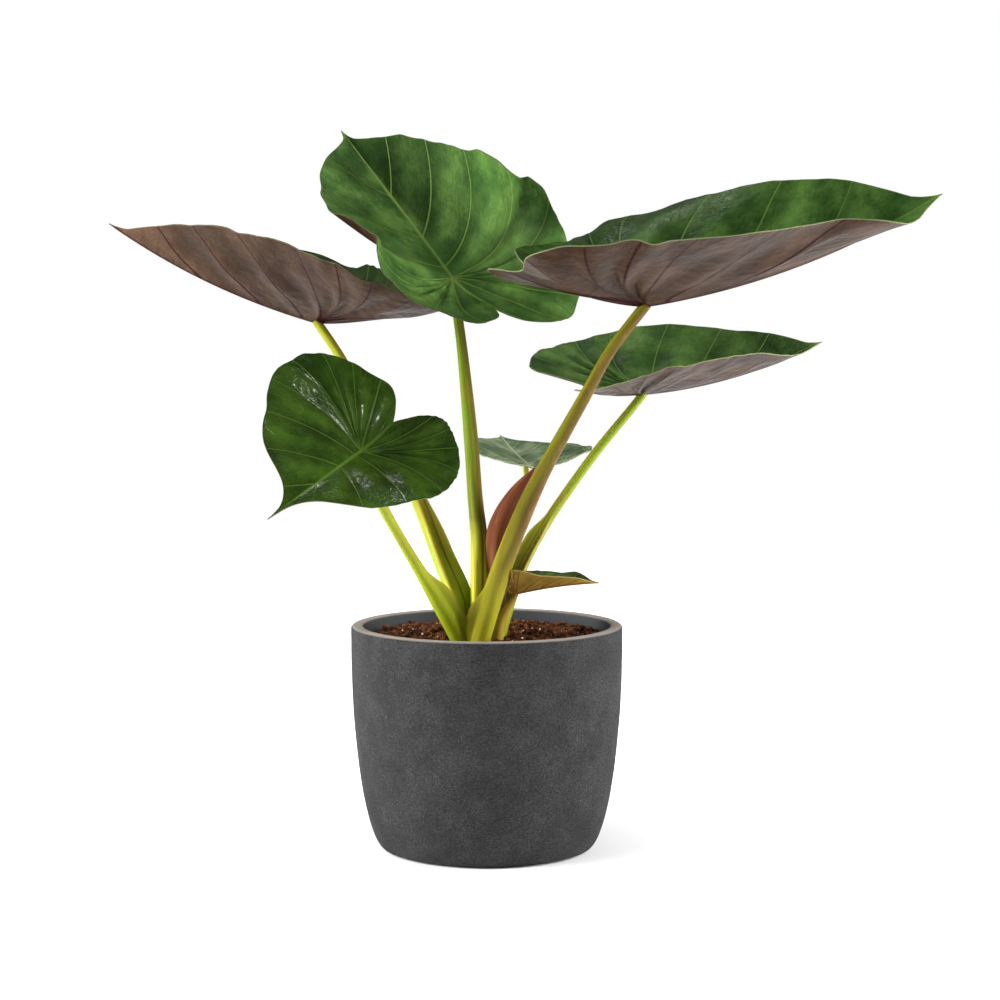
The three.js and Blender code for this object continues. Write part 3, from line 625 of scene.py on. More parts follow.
def perlite_look():
    """White puffed grains with soil dust in their pores."""
    look = Look("perlite", Roughness=0.7)
    dust = look.math("MULTIPLY", look.step(look.noise(1.4), 0.5, 0.75), 0.6)
    grain = look.mix(dust, (226, 222, 212), (128, 96, 70))
    return look.finish(grain, look.bump((look.noise(0.7), 0.3)))


def corm_look():
    """Brown papery skin of the buried stem."""
    look = Look("corm_skin", Roughness=0.85)
    rings = look.noise(9, 3, 0.6, look.stretched((0.2, 0.2, 1)))
    return look.finish(look.mix(rings, (74, 50, 30), (128, 92, 58)), look.bump((rings, 1.2)))


# ---- planter


INNER_RADIUS = POT["radius"] - POT["wall"]


def pot_radius(height):
    rise = np.minimum(np.asarray(height, float) / POT["curve_top"], 1)
    spread = (1 - (1 - rise) ** POT["belly"]) ** (1 / POT["flare"])
    return POT["foot_radius"] + (POT["radius"] - POT["foot_radius"]) * spread


def wall_heights(low, high, steps):
    """Heights up the wall, closer together near the foot where it curves most."""
    return low + (high - low) * np.linspace(0, 1, steps + 1) ** 1.5


def rounded(middle_radius, middle_height, size, start, end, steps=7):
    """Profile points of a round edge, from one angle to another (degrees)."""
    angles = np.radians(np.linspace(start, end, steps))
    return np.stack([middle_radius + size * np.cos(angles), middle_height + size * np.sin(angles)], 1)


def add_planter():
    round_ = POT["rim_round"]
    rim_top = POT["height"] - round_
    foot = POT["foot_round"]
    outer = wall_heights(foot, POT["curve_top"], 90)
    outer = np.stack([pot_radius(outer), outer], 1)
    upper = np.linspace(POT["curve_top"], rim_top, 22)[1:-1]
    straight = np.stack([np.full(len(upper), POT["radius"]), upper], 1)
    inner = wall_heights(POT["floor"], POT["curve_top"], 30)[::-1]
    inner = np.stack([pot_radius(inner) - POT["wall"], inner], 1)
    profile = np.vstack([
        [[0, 0], [POT["foot_radius"] - foot - 8, 0]],
        rounded(POT["foot_radius"] - foot, foot, foot, -90, -20, 4),
        outer, straight,
        rounded(POT["radius"] - round_, rim_top, round_, 0, 90),
        rounded(INNER_RADIUS + round_, rim_top, round_, 90, 180),
        inner, [[0, POT["floor"]]],
    ])
    points, faces = lathe(profile, POT["segments"])
    radius = np.hypot(points[:, 0], points[:, 1])
    angle = np.arctan2(points[:, 1], points[:, 0])
    height = points[:, 2]
    on_wall = soft_step((height - 6) / 12) * (radius > pot_radius(height) - POT["wall"] / 2)
    hand = ripples(3, 24, 3 * points[:, 0] / 40, 3 * points[:, 1] / 40, 5 * height / 40)
    push = -POT["unevenness"] * on_wall * (1 + 0.5 * hand)
    points[:, 0] += push * np.cos(angle)
    points[:, 1] += push * np.sin(angle)
    inside = soft_step((pot_radius(height) - POT["wall"] + 1.4 - radius) / 1.0)
    rim = soft_step((height - rim_top - 1.4) / 1.5)
    values = {"inside": inside, "rim": rim}
    add_piece("planter", points, faces, [pot_look()], "pot", values=values, merge=True)


# ---- potting mix


def seeded_numbers(seed):
    """Even random numbers from 0 to 1, in the same order as the solid's."""
    state = seed
    while True:
        state = (state * 1664525 + 1013904223) % 4294967296
        yield state / 4294967296


def soil_lumps():
    numbers = seeded_numbers(SOIL["seed"])
    reach = INNER_RADIUS - 10
    lumps = []
    for _ in range(SOIL["lumps"]):
        angle = next(numbers) * 2 * pi
        distance = sqrt(next(numbers)) * reach
        height = SOIL["relief"] * (next(numbers) * 1.6 - 0.5)
        size = 9 + 8 * next(numbers)
        lumps.append((distance * cos(angle), distance * sin(angle), height, size))
    return lumps


def soil_height(x, y):
    """Height of the soil's surface, with lumps of bark size on the broad ones."""
    from_edge = INNER_RADIUS - SOIL["gap"] - np.hypot(x, y)
    relief = sum(h * np.exp(-((x - a) ** 2 + (y - b) ** 2) / s ** 2) for a, b, h, s in LUMPS)
    crumbs = 0.9 * ripples(5, 40, x / 2.2, y / 2.2)
    return SOIL["top"] + soft_step(from_edge / 12) * relief + soft_step(from_edge / 3) * crumbs


LUMPS = soil_lumps()


def add_soil():
    gap = POT["wall"] + SOIL["gap"]
    side = wall_heights(POT["floor"], POT["curve_top"], 12)
    side = np.stack([pot_radius(side) - gap, side], 1)
    side[0, 1] += SOIL["gap"]
    edge = INNER_RADIUS - SOIL["gap"]
    top = [[edge * (1 - i / SOIL["rings"]), SOIL["top"]] for i in range(SOIL["rings"])]
    profile = [[0, POT["floor"] + SOIL["gap"]], *side.tolist(), *top, [0, SOIL["top"]]]
    points, faces = lathe(profile, SOIL["segments"])
    on_top = points[:, 2] > SOIL["top"] - 1
    points[on_top, 2] = soil_height(points[on_top, 0], points[on_top, 1])
    peat = earth_look("peat", (30, 17, 10), (70, 42, 26), 7)
    add_piece("potting_mix", points, faces, [peat], "soil", merge=True)


def stalk_bases():
    """Places and radii of the stalks where they leave the soil."""
    bases = []
    for stalk in [*STALKS.values(), FURLED]:
        route = np.asarray(stalk["route"], float)
        at_soil = [np.interp(SOIL["top"], route[:, 2], route[:, axis]) for axis in (0, 1, 3)]
        bases.append((*at_soil[:2], at_soil[2] + 0.5 * stalk["width"]))
    return bases


def scattered(random, count, reach, margin):
    """Random places on the soil, clear of the wall and of the stalks."""
    angle = random.uniform(0, 2 * pi, 3 * count)
    distance = reach * np.sqrt(random.uniform(0, 1, 3 * count))
    x = distance * np.cos(angle)
    y = distance * np.sin(angle)
    clear = np.ones(len(x), bool)
    for base_x, base_y, radius in stalk_bases():
        clear &= np.hypot(x - base_x, y - base_y) > radius + margin
    return x[clear][:count], y[clear][:count]


def turned(points, spin, tilt, roll):
    """Points of many bits (bit, point, axis), rolled about X, tilted about Y and spun about Z."""
    for angle, first, second in ((roll, 1, 2), (tilt, 2, 0), (spin, 0, 1)):
        ahead = np.cos(angle)[:, None]
        aside = np.sin(angle)[:, None]
        a = points[..., first] * ahead - points[..., second] * aside
        b = points[..., first] * aside + points[..., second] * ahead
        points[..., first] = a
        points[..., second] = b
    return points


def add_bits(name, shape, look, smooth=False):
    """Copies of one small shape strewn over the soil."""
    bits = BITS[name]
    corners, sides = shape
    random = np.random.default_rng(bits["seed"])
    reach = INNER_RADIUS - 3 - bits["x"][1] / 2
    x, y = scattered(random, bits["count"], reach, bits["clear"])
    count = len(x)
    size = np.stack([random.uniform(*bits[axis], count) for axis in "xyz"], -1)
    points = np.repeat(np.asarray(corners, float)[None], count, 0)
    points = points * (1 + random.normal(0, bits["jitter"], points.shape))
    points = points * size[:, None, :] / 2
    spin = random.uniform(0, 2 * pi, count)
    tilt, roll = (random.normal(0, bits["tilt"], count) for _ in range(2))
    points = turned(points, spin, tilt, roll)
    points += np.stack([x, y, soil_height(x, y) + bits["lift"]], -1)[:, None, :]
    points[..., 2] = np.minimum(points[..., 2], POT["height"] - 3)
    faces = [[corner + len(corners) * i for corner in side] for i in range(count) for side in sides]
    tone = np.repeat(random.uniform(0, 1, count) ** 1.6, len(corners))
    add_piece(name, points.reshape(-1, 3), faces, [look], values={"tone": tone}, smooth=smooth)


def fibre_shape(steps=9):
    """A thin bent strand with a four-sided section."""
    points = []
    for s in np.linspace(-1, 1, steps):
        width = 1 - 0.7 * s * s
        for a, b in ((1, 1), (-1, 1), (-1, -1), (1, -1)):
            sway = 0.8 * sin(2.1 * s)
            points.append((s, sway + 0.06 * a * width, 0.5 * s * s + 0.3 * b * width))
    return points, prism_faces(steps, 4)


def grain_shape():
    """A rough little ball: an icosahedron split once."""
    ball = bmesh.new()
    bmesh.ops.create_icosphere(ball, subdivisions=2, radius=1)
    points = [tuple(corner.co) for corner in ball.verts]
    faces = [tuple(corner.index for corner in face.verts) for face in ball.faces]
    ball.free()
    return points, faces


def add_mix_bits():
    chip = (CHIP_POINTS, prism_faces(2, 6))
    add_bits("bark_chips", chip, bit_look("bark", (38, 20, 12), (122, 74, 46)))
    add_bits("crumbs", chip, bit_look("crumb", (28, 16, 10), (104, 64, 40)))
    add_bits("fibres", fibre_shape(), bit_look("fibre", (66, 38, 22), (164, 114, 76)), smooth=True)
    add_bits("perlite", grain_shape(), perlite_look())


# ---- leaf blades

_steps = np.hypot(np.diff(OUTLINE_ALONG), np.diff(OUTLINE_ACROSS))
OUTLINE_SHARES = np.r_[0, np.cumsum(_steps)] / _steps.sum()
MARGIN_KNOTS = np.linspace(0, 1, 10)
NORMAL_STEP = 0.004
# Shares of the margin from which its columns belong to the lobe, from which they start ever
# further towards the notch, and from which the margin itself runs up to the notch.
LOBE_FROM, BASE_FROM, NOTCH_FROM = 0.62, 0.8, 0.86


def onward(value, start, power):
    """0 up to the start, then rising to 1."""
    return np.clip((value - start) / (1 - start), 0, 1) ** power


def blade_column(leaf, t):
    """Where the column that ends at share t of the margin starts on the midrib, where it ends, and
    the place on the midrib from which the margin's reach is counted."""
    notch = onward(t, NOTCH_FROM, 1.5) * (0.5 - leaf["sinus"])
    share = through(OUTLINE_SHARES, OUTLINE_ALONG, t) + notch
    tail = leaf["tail"] * np.clip(1 - t / 0.05, 0, 1) ** 1.5
    along = share * np.where(share > 0, leaf["front"], leaf["lobe"]) + tail
    shoulder = leaf["shoulder"] * np.sin(pi * np.minimum(5 * t, 1)) ** 2
    across = through(OUTLINE_SHARES, OUTLINE_ACROSS, t) * leaf["half_width"] + shoulder
    forward = onward(share, 0.12, 1)
    notch_at = -leaf["sinus"] * leaf["lobe"]
    ahead = t < LOBE_FROM
    start = np.where(ahead, forward ** BLADE["gather"] * leaf["front"] + tail,
                     notch_at * onward(t, BASE_FROM, 1.5))
    anchor = np.where(ahead, forward * leaf["front"], notch_at * onward(t, LOBE_FROM, 2.2))
    return start, anchor, along, np.maximum(0, across)


def arc(length, curvature, turned_by):
    """How far a length laid along an arc gets, and how high it rises."""
    k = np.where(np.abs(curvature) < 1e-7, 1e-7, curvature)
    ahead = (np.sin(turned_by + k * length) - np.sin(turned_by)) / k
    rise = (np.cos(turned_by) - np.cos(turned_by + k * length)) / k
    return ahead, rise


def blade_axes(leaf):
    """Directions towards the tip, towards the blade's left, and up from its upper side."""
    azimuth, pitch, roll = (radians(leaf[key]) for key in ("azimuth", "pitch", "roll"))
    tip = np.array([cos(pitch) * cos(azimuth), cos(pitch) * sin(azimuth),
                    sin(pitch)])
    level = np.array([-sin(azimuth), cos(azimuth), 0])
    up = np.cross(tip, level) * cos(roll) + level * sin(roll)
    return tip, np.cross(up, tip), up


def bend_blade(leaf, sign, along, across, raised):
    """Puts places of the flat blade on the folded, curled and bowed one."""
    share = along / np.where(along > 0, leaf["front"], leaf["lobe"])
    forward = np.maximum(share, 0)
    backward = np.maximum(-share, 0)

    def amount(every, left, tip, lobe):
        return np.radians(every + sign * left + tip * forward + lobe * backward)

    out, rise = arc(across, amount(*leaf["curl"]) / leaf["half_width"], amount(*leaf["fold"]))
    front_bow = radians(leaf["bend"][0]) / leaf["front"]
    lobe_bow = radians(leaf["bend"][1]) / leaf["lobe"]
    bow = np.where(along > 0, front_bow, lobe_bow)
    reach, climb = arc(np.abs(along), bow, 0.0)
    ahead = np.where(along > 0, 1, -1)
    lean = ahead * np.abs(along) * bow
    throat = leaf["throat"] * np.sin(pi * np.minimum(backward, 1)) \
        * np.exp(-(across / (0.35 * leaf["half_width"])) ** 2)
    height = rise + raised + throat
    x = ahead * reach - np.sin(lean) * height
    z = climb + np.cos(lean) * height
    turn = np.radians(leaf["twist"]) * share
    y = sign * out
    side = y * np.cos(turn) - z * np.sin(turn)
    upward = y * np.sin(turn) + z * np.cos(turn)
    tip, left, up = blade_axes(leaf)
    return np.asarray(leaf["junction"], float) + x[..., None] * tip + side[..., None] * left \
        + upward[..., None] * up


def ladder_phase(leaf, t, w, length):
    """Phase of the fine cross veins, which arch from each side vein to the next."""
    between = np.mod(t * BLADE["veins"], 1)
    arch = 4 * between * (1 - between)
    drift = 1.1 * ripples(leaf["seed"], 12, 20 * t, 5 * w)
    return pi * (w * length + 9 * arch) / BLADE["ladder_spacing"] + drift


def blade_point(leaf, sign, t, w):
    """Points of the blade's middle surface: t runs round the margin, w from the midrib out."""
    side = 0 if sign > 0 else 1
    seed = leaf["seed"] + 50 * side
    start, anchor, along, across = blade_column(leaf, t)
    scallop = 0.014 * leaf["ruffle"] * w ** 3 * ripples(seed + 3, 9, 80 * t)
    reach = through(MARGIN_KNOTS, (1, *leaf["reach"][side], 1), t) + scallop
    lift = through(MARGIN_KNOTS, (0, *leaf["lift"][side], 0), t)
    end = anchor + (along - anchor) * reach
    wide = across / leaf["half_width"]
    size = leaf["half_width"] / BLADE["full_half_width"]
    length = np.hypot(end - start, across)
    slack = soft_step((0.85 - t) / 0.45) * min(1, 2 * leaf["lobe"] / leaf["front"])
    bow = BLADE["bow"] * slack * w * (1 - w) * length * wide
    phase = leaf["wave_phase"] + 1.3 * side
    outward = across * w * reach
    margin = (outward / leaf["half_width"]) ** 1.6
    wave = leaf["wave"] * margin * np.sin(2 * pi * leaf["waves"] * t + phase)
    between = np.cos(2 * pi * BLADE["veins"] * t)
    middle = np.sin(pi * w) ** 2 * np.minimum(1, 2 * wide)
    quilt = -BLADE["quilting"] * between * middle * size ** 2
    fine = leaf.get("crinkle", 1)
    folds = BLADE["folds"] * ripples(seed + 7, 14, 100 * t, 10 * w) * size * fine
    folds = folds * np.minimum(1, 4 * w * wide) * (1 - 0.6 * w)
    ruffle = leaf["ruffle"] * margin * w ** 4 * ripples(seed, 9, 95 * t)
    ladder = np.abs(np.sin(ladder_phase(leaf, t, w, length))) - 0.6
    fade = np.minimum(1, 2 * wide) * np.sin(pi * w) * (1 - 0.5 * w) * (1 - between) / 2
    crinkle = BLADE["ladder_height"] * ladder * fade * fine
    return bend_blade(leaf, sign, start + (end - start) * w - bow, outward,
                      lift * w * w + wave + quilt + folds + ruffle + crinkle)


def blade_normals(leaf, sign, t, w):
    """Which way the upper side looks, and how far (mm per share) the columns and the rows of the
    grid lie apart there, each measured square to its own run."""
    later = np.minimum(t + NORMAL_STEP, 0.999)
    sooner = np.maximum(t - NORMAL_STEP, 0.001)
    around = blade_point(leaf, sign, later, w) - blade_point(leaf, sign, sooner, w)
    around = around / (later - sooner)[..., None]
    outer = np.minimum(w + NORMAL_STEP, 1)
    inner = np.maximum(w - NORMAL_STEP, 0)
    outward = blade_point(leaf, sign, t, outer) - blade_point(leaf, sign, t, inner)
    outward = outward / (outer - inner)[..., None]
    square = sign * np.cross(outward, around)
    area = np.linalg.norm(square, axis=-1)
    start = blade_column(leaf, t)[0]
    zero = np.zeros_like(t)
    on_rib = bend_blade(leaf, sign, start, zero, zero + 1) - bend_blade(leaf, sign, start, zero, zero)
    shared = (w == 0) | (t == 0) | (t == 1)
    normals = unit(np.where(shared[..., None], on_rib, square))
    column_gap = area / np.maximum(np.linalg.norm(outward, axis=-1), 1e-6)
    row_gap = area / np.maximum(np.linalg.norm(around, axis=-1), 1e-6)
    return normals, column_gap, row_gap


def blade_grid(leaf):
    """Shares of the columns, closer beside each vein, and of the rows from midrib to margin."""
    fine = leaf["half_width"] > 80
    beside = np.array([0, 0.012, 0.03, 0.055, 0.09, 0.15, 0.22, 0.31, 0.4] if fine
                      else [0, 0.03, 0.07, 0.15, 0.3])
    cell = np.r_[beside, 0.5, 1 - beside[:0:-1]]
    t = np.r_[(np.arange(BLADE["veins"])[:, None] + cell).ravel() / BLADE["veins"], 1]
    w = np.r_[0, 0.012, 0.026, 0.045, np.linspace(0.07, 0.96, 52 if fine else 26), 0.985, 1]
    return np.meshgrid(t, w, indexing="ij")


def half_blade(leaf, sign):
    """One half of a blade as a grid whose rows go over the top, round the margin and back below."""
    t, w = blade_grid(leaf)
    points = blade_point(leaf, sign, t, w)
    normals, column_gap, row_gap = blade_normals(leaf, sign, t, w)
    start, _, along, across = blade_column(leaf, t)
    size = leaf["half_width"] / BLADE["full_half_width"]
    nearest = np.clip(np.round(t * BLADE["veins"]), 1, BLADE["veins"] - 1).astype(int)
    strength = np.asarray(VEIN_STRENGTH)[nearest]
    vein_width = BLADE["vein_width"] * size ** 0.5 * (1 - 0.5 * w) * strength
    vein_share = np.abs(t - nearest / BLADE["veins"]) * column_gap / vein_width
    vein = np.exp(-vein_share ** 2) * strength * (1 - 0.75 * w) * np.minimum(1, 8 * w)
    away = np.clip(np.abs(start) / np.where(start > 0, leaf["front"], leaf["lobe"]), 0, 1)
    rib_share = across * w / (BLADE["rib_half_width"] * (0.3 + 0.7 * (1 - away) ** 0.6))
    rib = np.exp(-rib_share ** 2) * (1 - away) ** 0.7 * size
    half = BLADE["thickness"] / 2
    above = half - BLADE["vein_sink"] * vein * size + 0.2 * rib
    below = half + BLADE["vein_height"] * vein * size + BLADE["rib_height"] * rib
    top = points + normals * above[..., None]
    bottom = points - normals * below[..., None]
    outwards = unit(points[:, -1] - points[:, -2])
    edge = [points[:, -1] + half * (normals[:, -1] * cos(a) + outwards * sin(a))
            for a in np.radians([45, 90, 135])]
    ring = np.concatenate([top, np.stack(edge, 1), bottom[:, ::-1]], 1)
    length = np.hypot(along - start, across)
    flow = [t * 6 * leaf["half_width"], w * length * 0.3, 0 * t + 90 * sign, 0 * t + 1]
    # bulge: low by the veins and high on the bulges between them; the looks use it to paint shade in
    # the valleys and light on the bulges
    bulge = 0.5 - 0.5 * np.cos(2 * pi * BLADE["veins"] * t) * np.sin(pi * w) ** 0.5
    values = {"vein_share": np.minimum(vein_share, 6), "rib_share": np.minimum(rib_share, 6),
              "bulge": bulge, "tipward": 0 * w + away * (start > 0), "edge": (1 - w) * row_gap,
              # left: which half a point lies on, used only to paint one half lighter and the other
              # darker as painted light and shade
              "left": 0.5 + 0.5 * sign * np.minimum(1, 6 * w) * np.minimum(1, 4 * away * (start > 0)),
              "ladder": ladder_phase(leaf, t, w, length), "flow": np.stack(flow, -1) * MM}
    values = {key: np.concatenate([v, np.repeat(v[:, -1:], 3, 1), v[:, ::-1]], 1)
              for key, v in values.items()}
    return ring, values


def add_blade(name, leaf, looks):
    points = []
    faces = []
    values = {}
    face_looks = []
    first = 0
    for sign in (1, -1):
        ring, numbers = half_blade(leaf, sign)
        columns, rows = ring.shape[:2]
        points.append(ring.reshape(-1, 3))
        faces += grid_faces(columns, rows, first)
        underneath = np.arange(rows - 1) >= rows // 2
        face_looks.append(np.tile(underneath, columns - 1))
        for key, v in numbers.items():
            values.setdefault(key, []).append(v.reshape(columns * rows, -1).squeeze())
        first += columns * rows
    values = {key: np.concatenate(v) for key, v in values.items()}
    add_piece(f"leaf_{name}_blade", np.vstack(points), faces, looks, f"blade_{name}",
              look_of_face=np.concatenate(face_looks).astype(np.int32), values=values, merge=True)


# ---- stalks


def section_radius(stalk, radius, angle, height):
    """Radius of a stalk's section at an angle from its channel."""
    opened = soft_step((stalk["top"] - height) / stalk["rise"])
    from_wing = (np.abs(angle) - CHANNEL["wing_angle"]) / CHANNEL["wing_spread"]
    wing = stalk["width"] * opened * np.exp(-from_wing ** 2)
    groove = radius * CHANNEL["depth"] * (1 + opened) * np.exp(-(angle / CHANNEL["spread"]) ** 2)
    return radius + wing - groove


def stalk_tint(stalk, share, angle, height, compass):
    """Colour of the skin: three tones up the stalk, the lowest partly painted light, a blush on one
    side, a dark channel.
    """
    tones = [np.asarray(linear(tone)) for tone in stalk["tones"]]
    blush_colour, blush_side, blush_share = stalk["blush"]
    up = share[..., None]
    tint = np.where(up < 0.5, tones[0] + (tones[1] - tones[0]) * (2 * up) ** 1.6,
                    tones[1] + (tones[2] - tones[1]) * (2 * up - 1))
    towards = np.cos(compass - radians(blush_side))
    patches = ripples(8, 10, 3 * np.cos(compass), 3 * np.sin(compass), height / 22)
    blush = blush_share * soft_step(0.5 + 0.75 * towards + 0.3 * patches)
    blush = blush * soft_step(share * 3.4 - 0.6)
    opened = soft_step((stalk["top"] + 60 - height) / 80)
    line = 0.8 * np.exp(-(angle / 0.17) ** 2) * opened
    lips = stalk.get("lips", 0.45) * opened
    lips = lips * np.exp(-((np.abs(angle) - CHANNEL["wing_angle"]) / 0.12) ** 2)
    for colour, amount in ((blush_colour, blush), (CHANNEL["dark"], line), (CHANNEL["lip"], lips)):
        tint = tint + (np.asarray(linear(colour)) - tint) * amount[..., None]
    return tint


def under_blade(leaf, points):
    """Keeps the upper end of a stalk below the blade that it carries."""
    tip, left, up = blade_axes(leaf)
    offset = points - np.asarray(leaf["junction"], float)
    sideways = offset @ left
    ahead = offset @ tip
    fold = np.radians(leaf["fold"][0] + np.sign(sideways) * leaf["fold"][1])
    bow = np.where(ahead > 0, leaf["bend"][0] / leaf["front"], leaf["bend"][1] / leaf["lobe"])
    surface = np.abs(sideways) * np.tan(fold) + np.radians(bow) * ahead ** 2 / 2
    excess = np.maximum(offset @ up - surface + JUNCTION["gap"], 0)
    near = np.linalg.norm(offset, axis=-1) < JUNCTION["reach"]
    return points - (excess * near)[..., None] * up


def stalk_grid(stalk, route):
    """Points of the skin ring by ring, with their share, angle, height and compass direction."""
    route = np.asarray(route, float)
    knots = np.linspace(0, 1, len(route))
    t = np.linspace(0, 1, STALK_RINGS)

    def along(at):
        return np.stack([through(knots, route[:, axis], at) for axis in range(4)], -1)

    centre = along(t)
    tangent = unit(along(np.minimum(t + 0.01, 1))[:, :3] - along(np.maximum(t - 0.01, 0))[:, :3])
    faces = radians(stalk["faces"])
    facing = np.array([cos(faces), sin(faces), 0])
    front = unit(facing - (tangent @ facing)[:, None] * tangent)
    side = np.cross(tangent, front)
    angle = np.linspace(-pi, pi, STALK_SIDES, endpoint=False)[None, :]
    height = centre[:, 2:3] + 0 * angle
    reach = section_radius(stalk, centre[:, 3:4], angle, height)
    if "lap" in stalk:
        around = np.mod(angle / (2 * pi) + 0.35 + stalk["turns"] * t[:, None], 1)
        reach = reach * (1 + stalk["lap"] * (around - 0.5) * soft_step((1 - around) / 0.03))
    direction = front[:, None] * np.cos(angle)[..., None] + side[:, None] * np.sin(angle)[..., None]
    points = centre[:, None, :3] + reach[..., None] * direction
    compass = np.arctan2(direction[..., 1], direction[..., 0])
    return points, t[:, None] + 0 * angle, angle + 0 * height, height, compass


def add_stalk(name, stalk, route, look, node, leaf=None):
    points, share, angle, height, compass = stalk_grid(stalk, route)
    tint = stalk_tint(stalk, share, angle, height, compass)
    if leaf:
        points = under_blade(leaf, points)
    ends = [points[0].mean(0), points[-1].mean(0)]
    faces = tube_faces(*points.shape[:2])
    points = np.vstack([points.reshape(-1, 3), ends])
    run = 0.06 * np.linalg.norm(np.subtract(*ends)) * share
    flow = np.stack([8 * np.cos(angle), 8 * np.sin(angle), run, 1 + 0 * run], -1) * MM
    values = {"tint": tint, "flow": flow}
    values = {key: np.vstack([v.reshape(-1, 4), v[0, :1], v[-1, :1]]) for key, v in values.items()}
    add_piece(name, points, faces, [look], node, values=values, merge=True)


def add_stalks():
    skin = stalk_look("stalk_skin", 0.42)
    for name, stalk in STALKS.items():
        leaf = LEAVES[name]
        route = [*stalk["route"], (*leaf["junction"], stalk["neck"])]
        add_stalk(f"leaf_{name}_stalk", stalk, route, skin, f"petiole_{name}", leaf)
    rolled = stalk_look("rolled_leaf_skin", 0.45)
    add_stalk("new_leaf", FURLED, FURLED["route"], rolled, "furled_leaf")


# Colours of the blades. Above: deep and fresh green, veins, margin, then the roughness, how much
# paler or darker the lobes and the tip are painted, and the left and the right half where they
# differ: these are painted light and shade for how the light falls on the blade.
# Below: brown, warmer brown, veins, margin, roughness.
MAROON = (34, 10, 9)
CREAM = (106, 112, 78)
DARK_EDGE = (26, 46, 14)
UPPER_COLOURS = {
    "a": ((26, 45, 8), (47, 70, 16), (76, 106, 36), DARK_EDGE, 0.12, 1.05, 1),
    "b": ((22, 36, 17), (40, 55, 28), (72, 96, 42), DARK_EDGE, 0.34, 1, 1),
    "c": ((38, 61, 26), (64, 89, 40), (104, 130, 60), (56, 78, 34), 0.34, 1.15, 0.92, (2.2, 0.52)),
    "d": ((28, 49, 17), (55, 80, 34), (84, 118, 48), CREAM, 0.3, 0.9, 1.5),
    "e": ((33, 54, 22), (61, 84, 38), (100, 130, 66), CREAM, 0.34, 1.5, 0.95),
    "f": ((70, 94, 62), (142, 158, 124), (178, 190, 150), (150, 158, 124), 0.42, 1, 1.1),
    "g": ((54, 76, 34), (88, 108, 56), (138, 148, 86), CREAM, 0.4, 1, 1),
}
UNDER_COLOURS = {
    "g": ((124, 96, 38), (152, 122, 56), (112, 76, 32), (156, 136, 80), 0.45),
    "f": ((100, 88, 72), (118, 104, 86), (74, 50, 36), (124, 124, 96), 0.45),
    "b": ((39, 26, 17), (58, 42, 30), MAROON, (78, 72, 50), 0.4),
    "c": ((38, 23, 16), (56, 39, 29), MAROON, (60, 60, 36), 0.4),
}
PLAIN_UNDER = ((44, 29, 19), (66, 48, 36), MAROON, CREAM, 0.4)


def add_blades():
    for name, leaf in LEAVES.items():
        looks = [upper_look(f"upper_side_{name}", *UPPER_COLOURS[name]),
                 under_look(f"underside_{name}", *UNDER_COLOURS.get(name, PLAIN_UNDER))]
        add_blade(name, leaf, looks)


def dress_corm():
    """The buried corm keeps its solid and gets its skin."""
    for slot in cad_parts["corm"].material_slots:
        slot.material = corm_look()


# ---- studio

LIGHTS = (
    # name, place and aim in metres, width, height, power in watts, whether it shows in the gloss
    ("key_left", (-1.6, -1.3, 1.9), (0, 0, 0.45), 0.8, 0.8, 36, False),
    ("strip_left", (-1.9, -0.3, 0.7), (0, 0, 0.3), 0.7, 1.6, 104, False),
    ("strip_right", (1.9, -0.1, 0.8), (0, 0, 0.3), 0.7, 1.6, 92, False),
    ("back_top", (-0.12, 1.4, 2.4), (0, 0, 0.45), 0.22, 0.5, 2.2, True),
    ("high_right", (1.2, -0.7, 2.15), (0, 0, 0.45), 0.12, 0.32, 5, True),
)
# Strength of the white surroundings on the viewer's side and behind the plant, the depths of
# the direction between which it changes, and the share of it that glossy surfaces mirror.
SURROUNDINGS = {"front": 0.27, "back": 0.5, "near": -0.3, "far": 0.7, "gloss": 0.2}
FLOOR = {"reach": 3.4, "drop": 1e-4, "glow": 0.8, "glow_from": 0.08, "glow_full": 0.55}


def add_camera():
    data = bpy.data.cameras.new("camera")
    data.lens = CAMERA["lens"]
    data.sensor_width = CAMERA["sensor"]
    camera = add_object("camera", data)
    pitch = radians(CAMERA["pitch"])
    away = Vector((0, -cos(pitch), sin(pitch))) * CAMERA["distance"]
    camera.location = (Vector(CAMERA["aim"]) + away) * MM
    camera.rotation_euler = (pi / 2 - pitch, 0, 0)
    bpy.context.scene.camera = camera


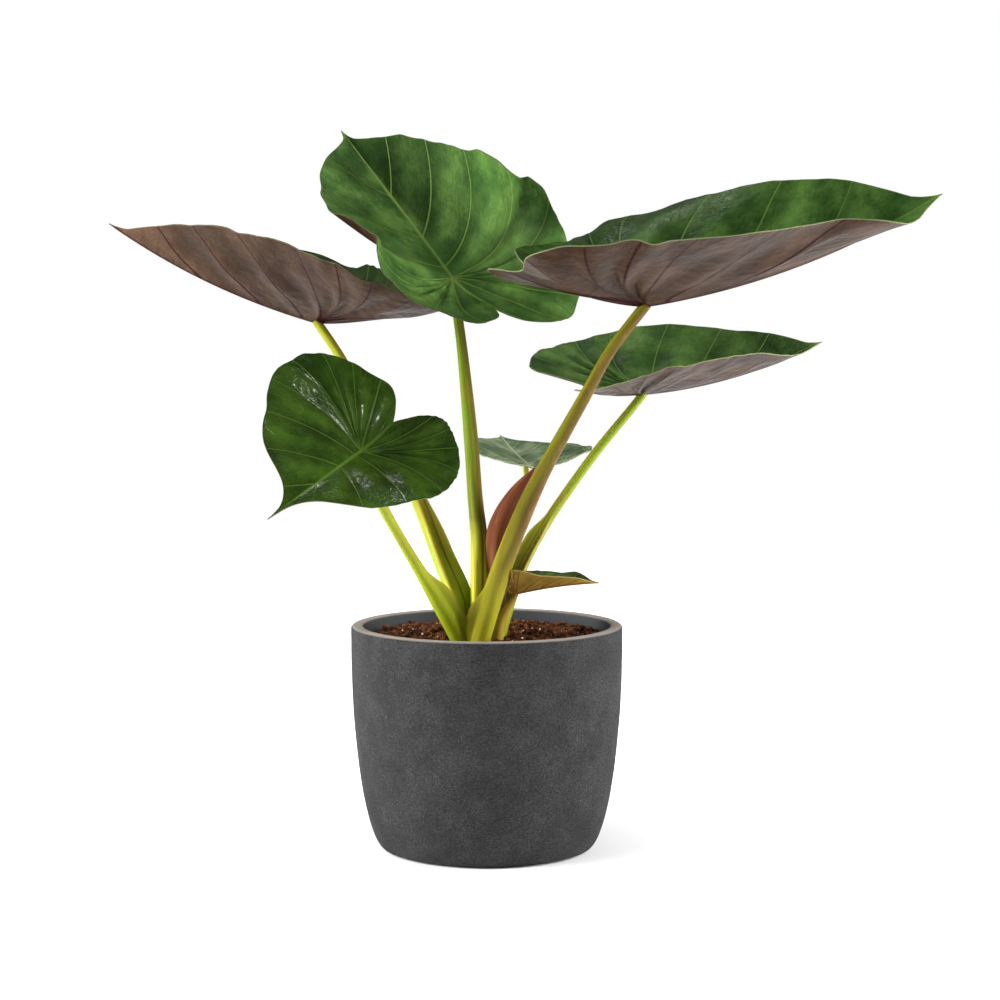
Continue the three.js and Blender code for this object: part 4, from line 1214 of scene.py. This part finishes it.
def add_lights():
    for name, place, aim, width, height, power, shows in LIGHTS:
        data = bpy.data.lights.new(name, "AREA")
        data.shape = "RECTANGLE"
        data.size = width
        data.size_y = height
        data.energy = power
        light = add_object(name, data)
        light.location = place
        light.visible_glossy = shows
        light.rotation_euler = (Vector(aim) - Vector(place)).to_track_quat("-Z", "Y").to_euler()


def add_surroundings():
    """A white room: plain white to look at, but dimmer as light from the viewer's side, and
    dimmer still in the gloss."""
    world = bpy.data.worlds.new("studio")
    world.use_nodes = True
    nodes = Nodes(world.node_tree)
    direction = nodes.add("TexCoord").outputs["Generated"]
    depth = nodes.add("SeparateXYZ", {0: direction}).outputs["Y"]
    ray = nodes.add("LightPath").outputs
    lit = nodes.span(depth, *(SURROUNDINGS[key] for key in ("near", "far", "front", "back")))
    mirrored = nodes.span(ray["Is Glossy Ray"], 0, 1, 1, SURROUNDINGS["gloss"])
    lit = nodes.math("MULTIPLY", lit, mirrored)
    background = nodes.tree.nodes["Background"]
    nodes.feed(background.inputs["Strength"], nodes.span(ray["Is Camera Ray"], 0, 1, lit, 1))
    nodes.feed(background.inputs["Color"], (1, 1, 1, 1))
    bpy.context.scene.world = world
    bpy.context.scene.view_settings.view_transform = "Standard"


def add_floor():
    """Pale paper that glows faintly away from the pot, so that it runs into the white room."""
    look = Look("pale_floor", Roughness=0.7, Specular_IOR_Level=0.2)
    away = look.add("VectorMath", {0: look.place}, operation="LENGTH").outputs["Value"]
    glow = look.step(away, FLOOR["glow_from"], FLOOR["glow_full"])
    look.feed(look.shader.inputs["Emission Color"], (1, 1, 1, 1))
    look.feed(look.shader.inputs["Emission Strength"], look.math("MULTIPLY", glow, FLOOR["glow"]))
    paper = look.mix(look.noise(300, 2), (230, 230, 230), (233, 233, 233))
    mesh = bpy.data.meshes.new("floor")
    corners = [(x * FLOOR["reach"], y * FLOOR["reach"], -FLOOR["drop"])
               for x, y in ((-1, -1), (1, -1), (1, 1), (-1, 1))]
    mesh.from_pydata(corners, [], [(0, 1, 2, 3)])
    mesh.materials.append(look.finish(paper))
    floor = add_object("floor", mesh)


add_camera()
add_lights()
add_surroundings()
add_floor()
add_planter()
add_soil()
add_mix_bits()
add_blades()
add_stalks()
dress_corm()
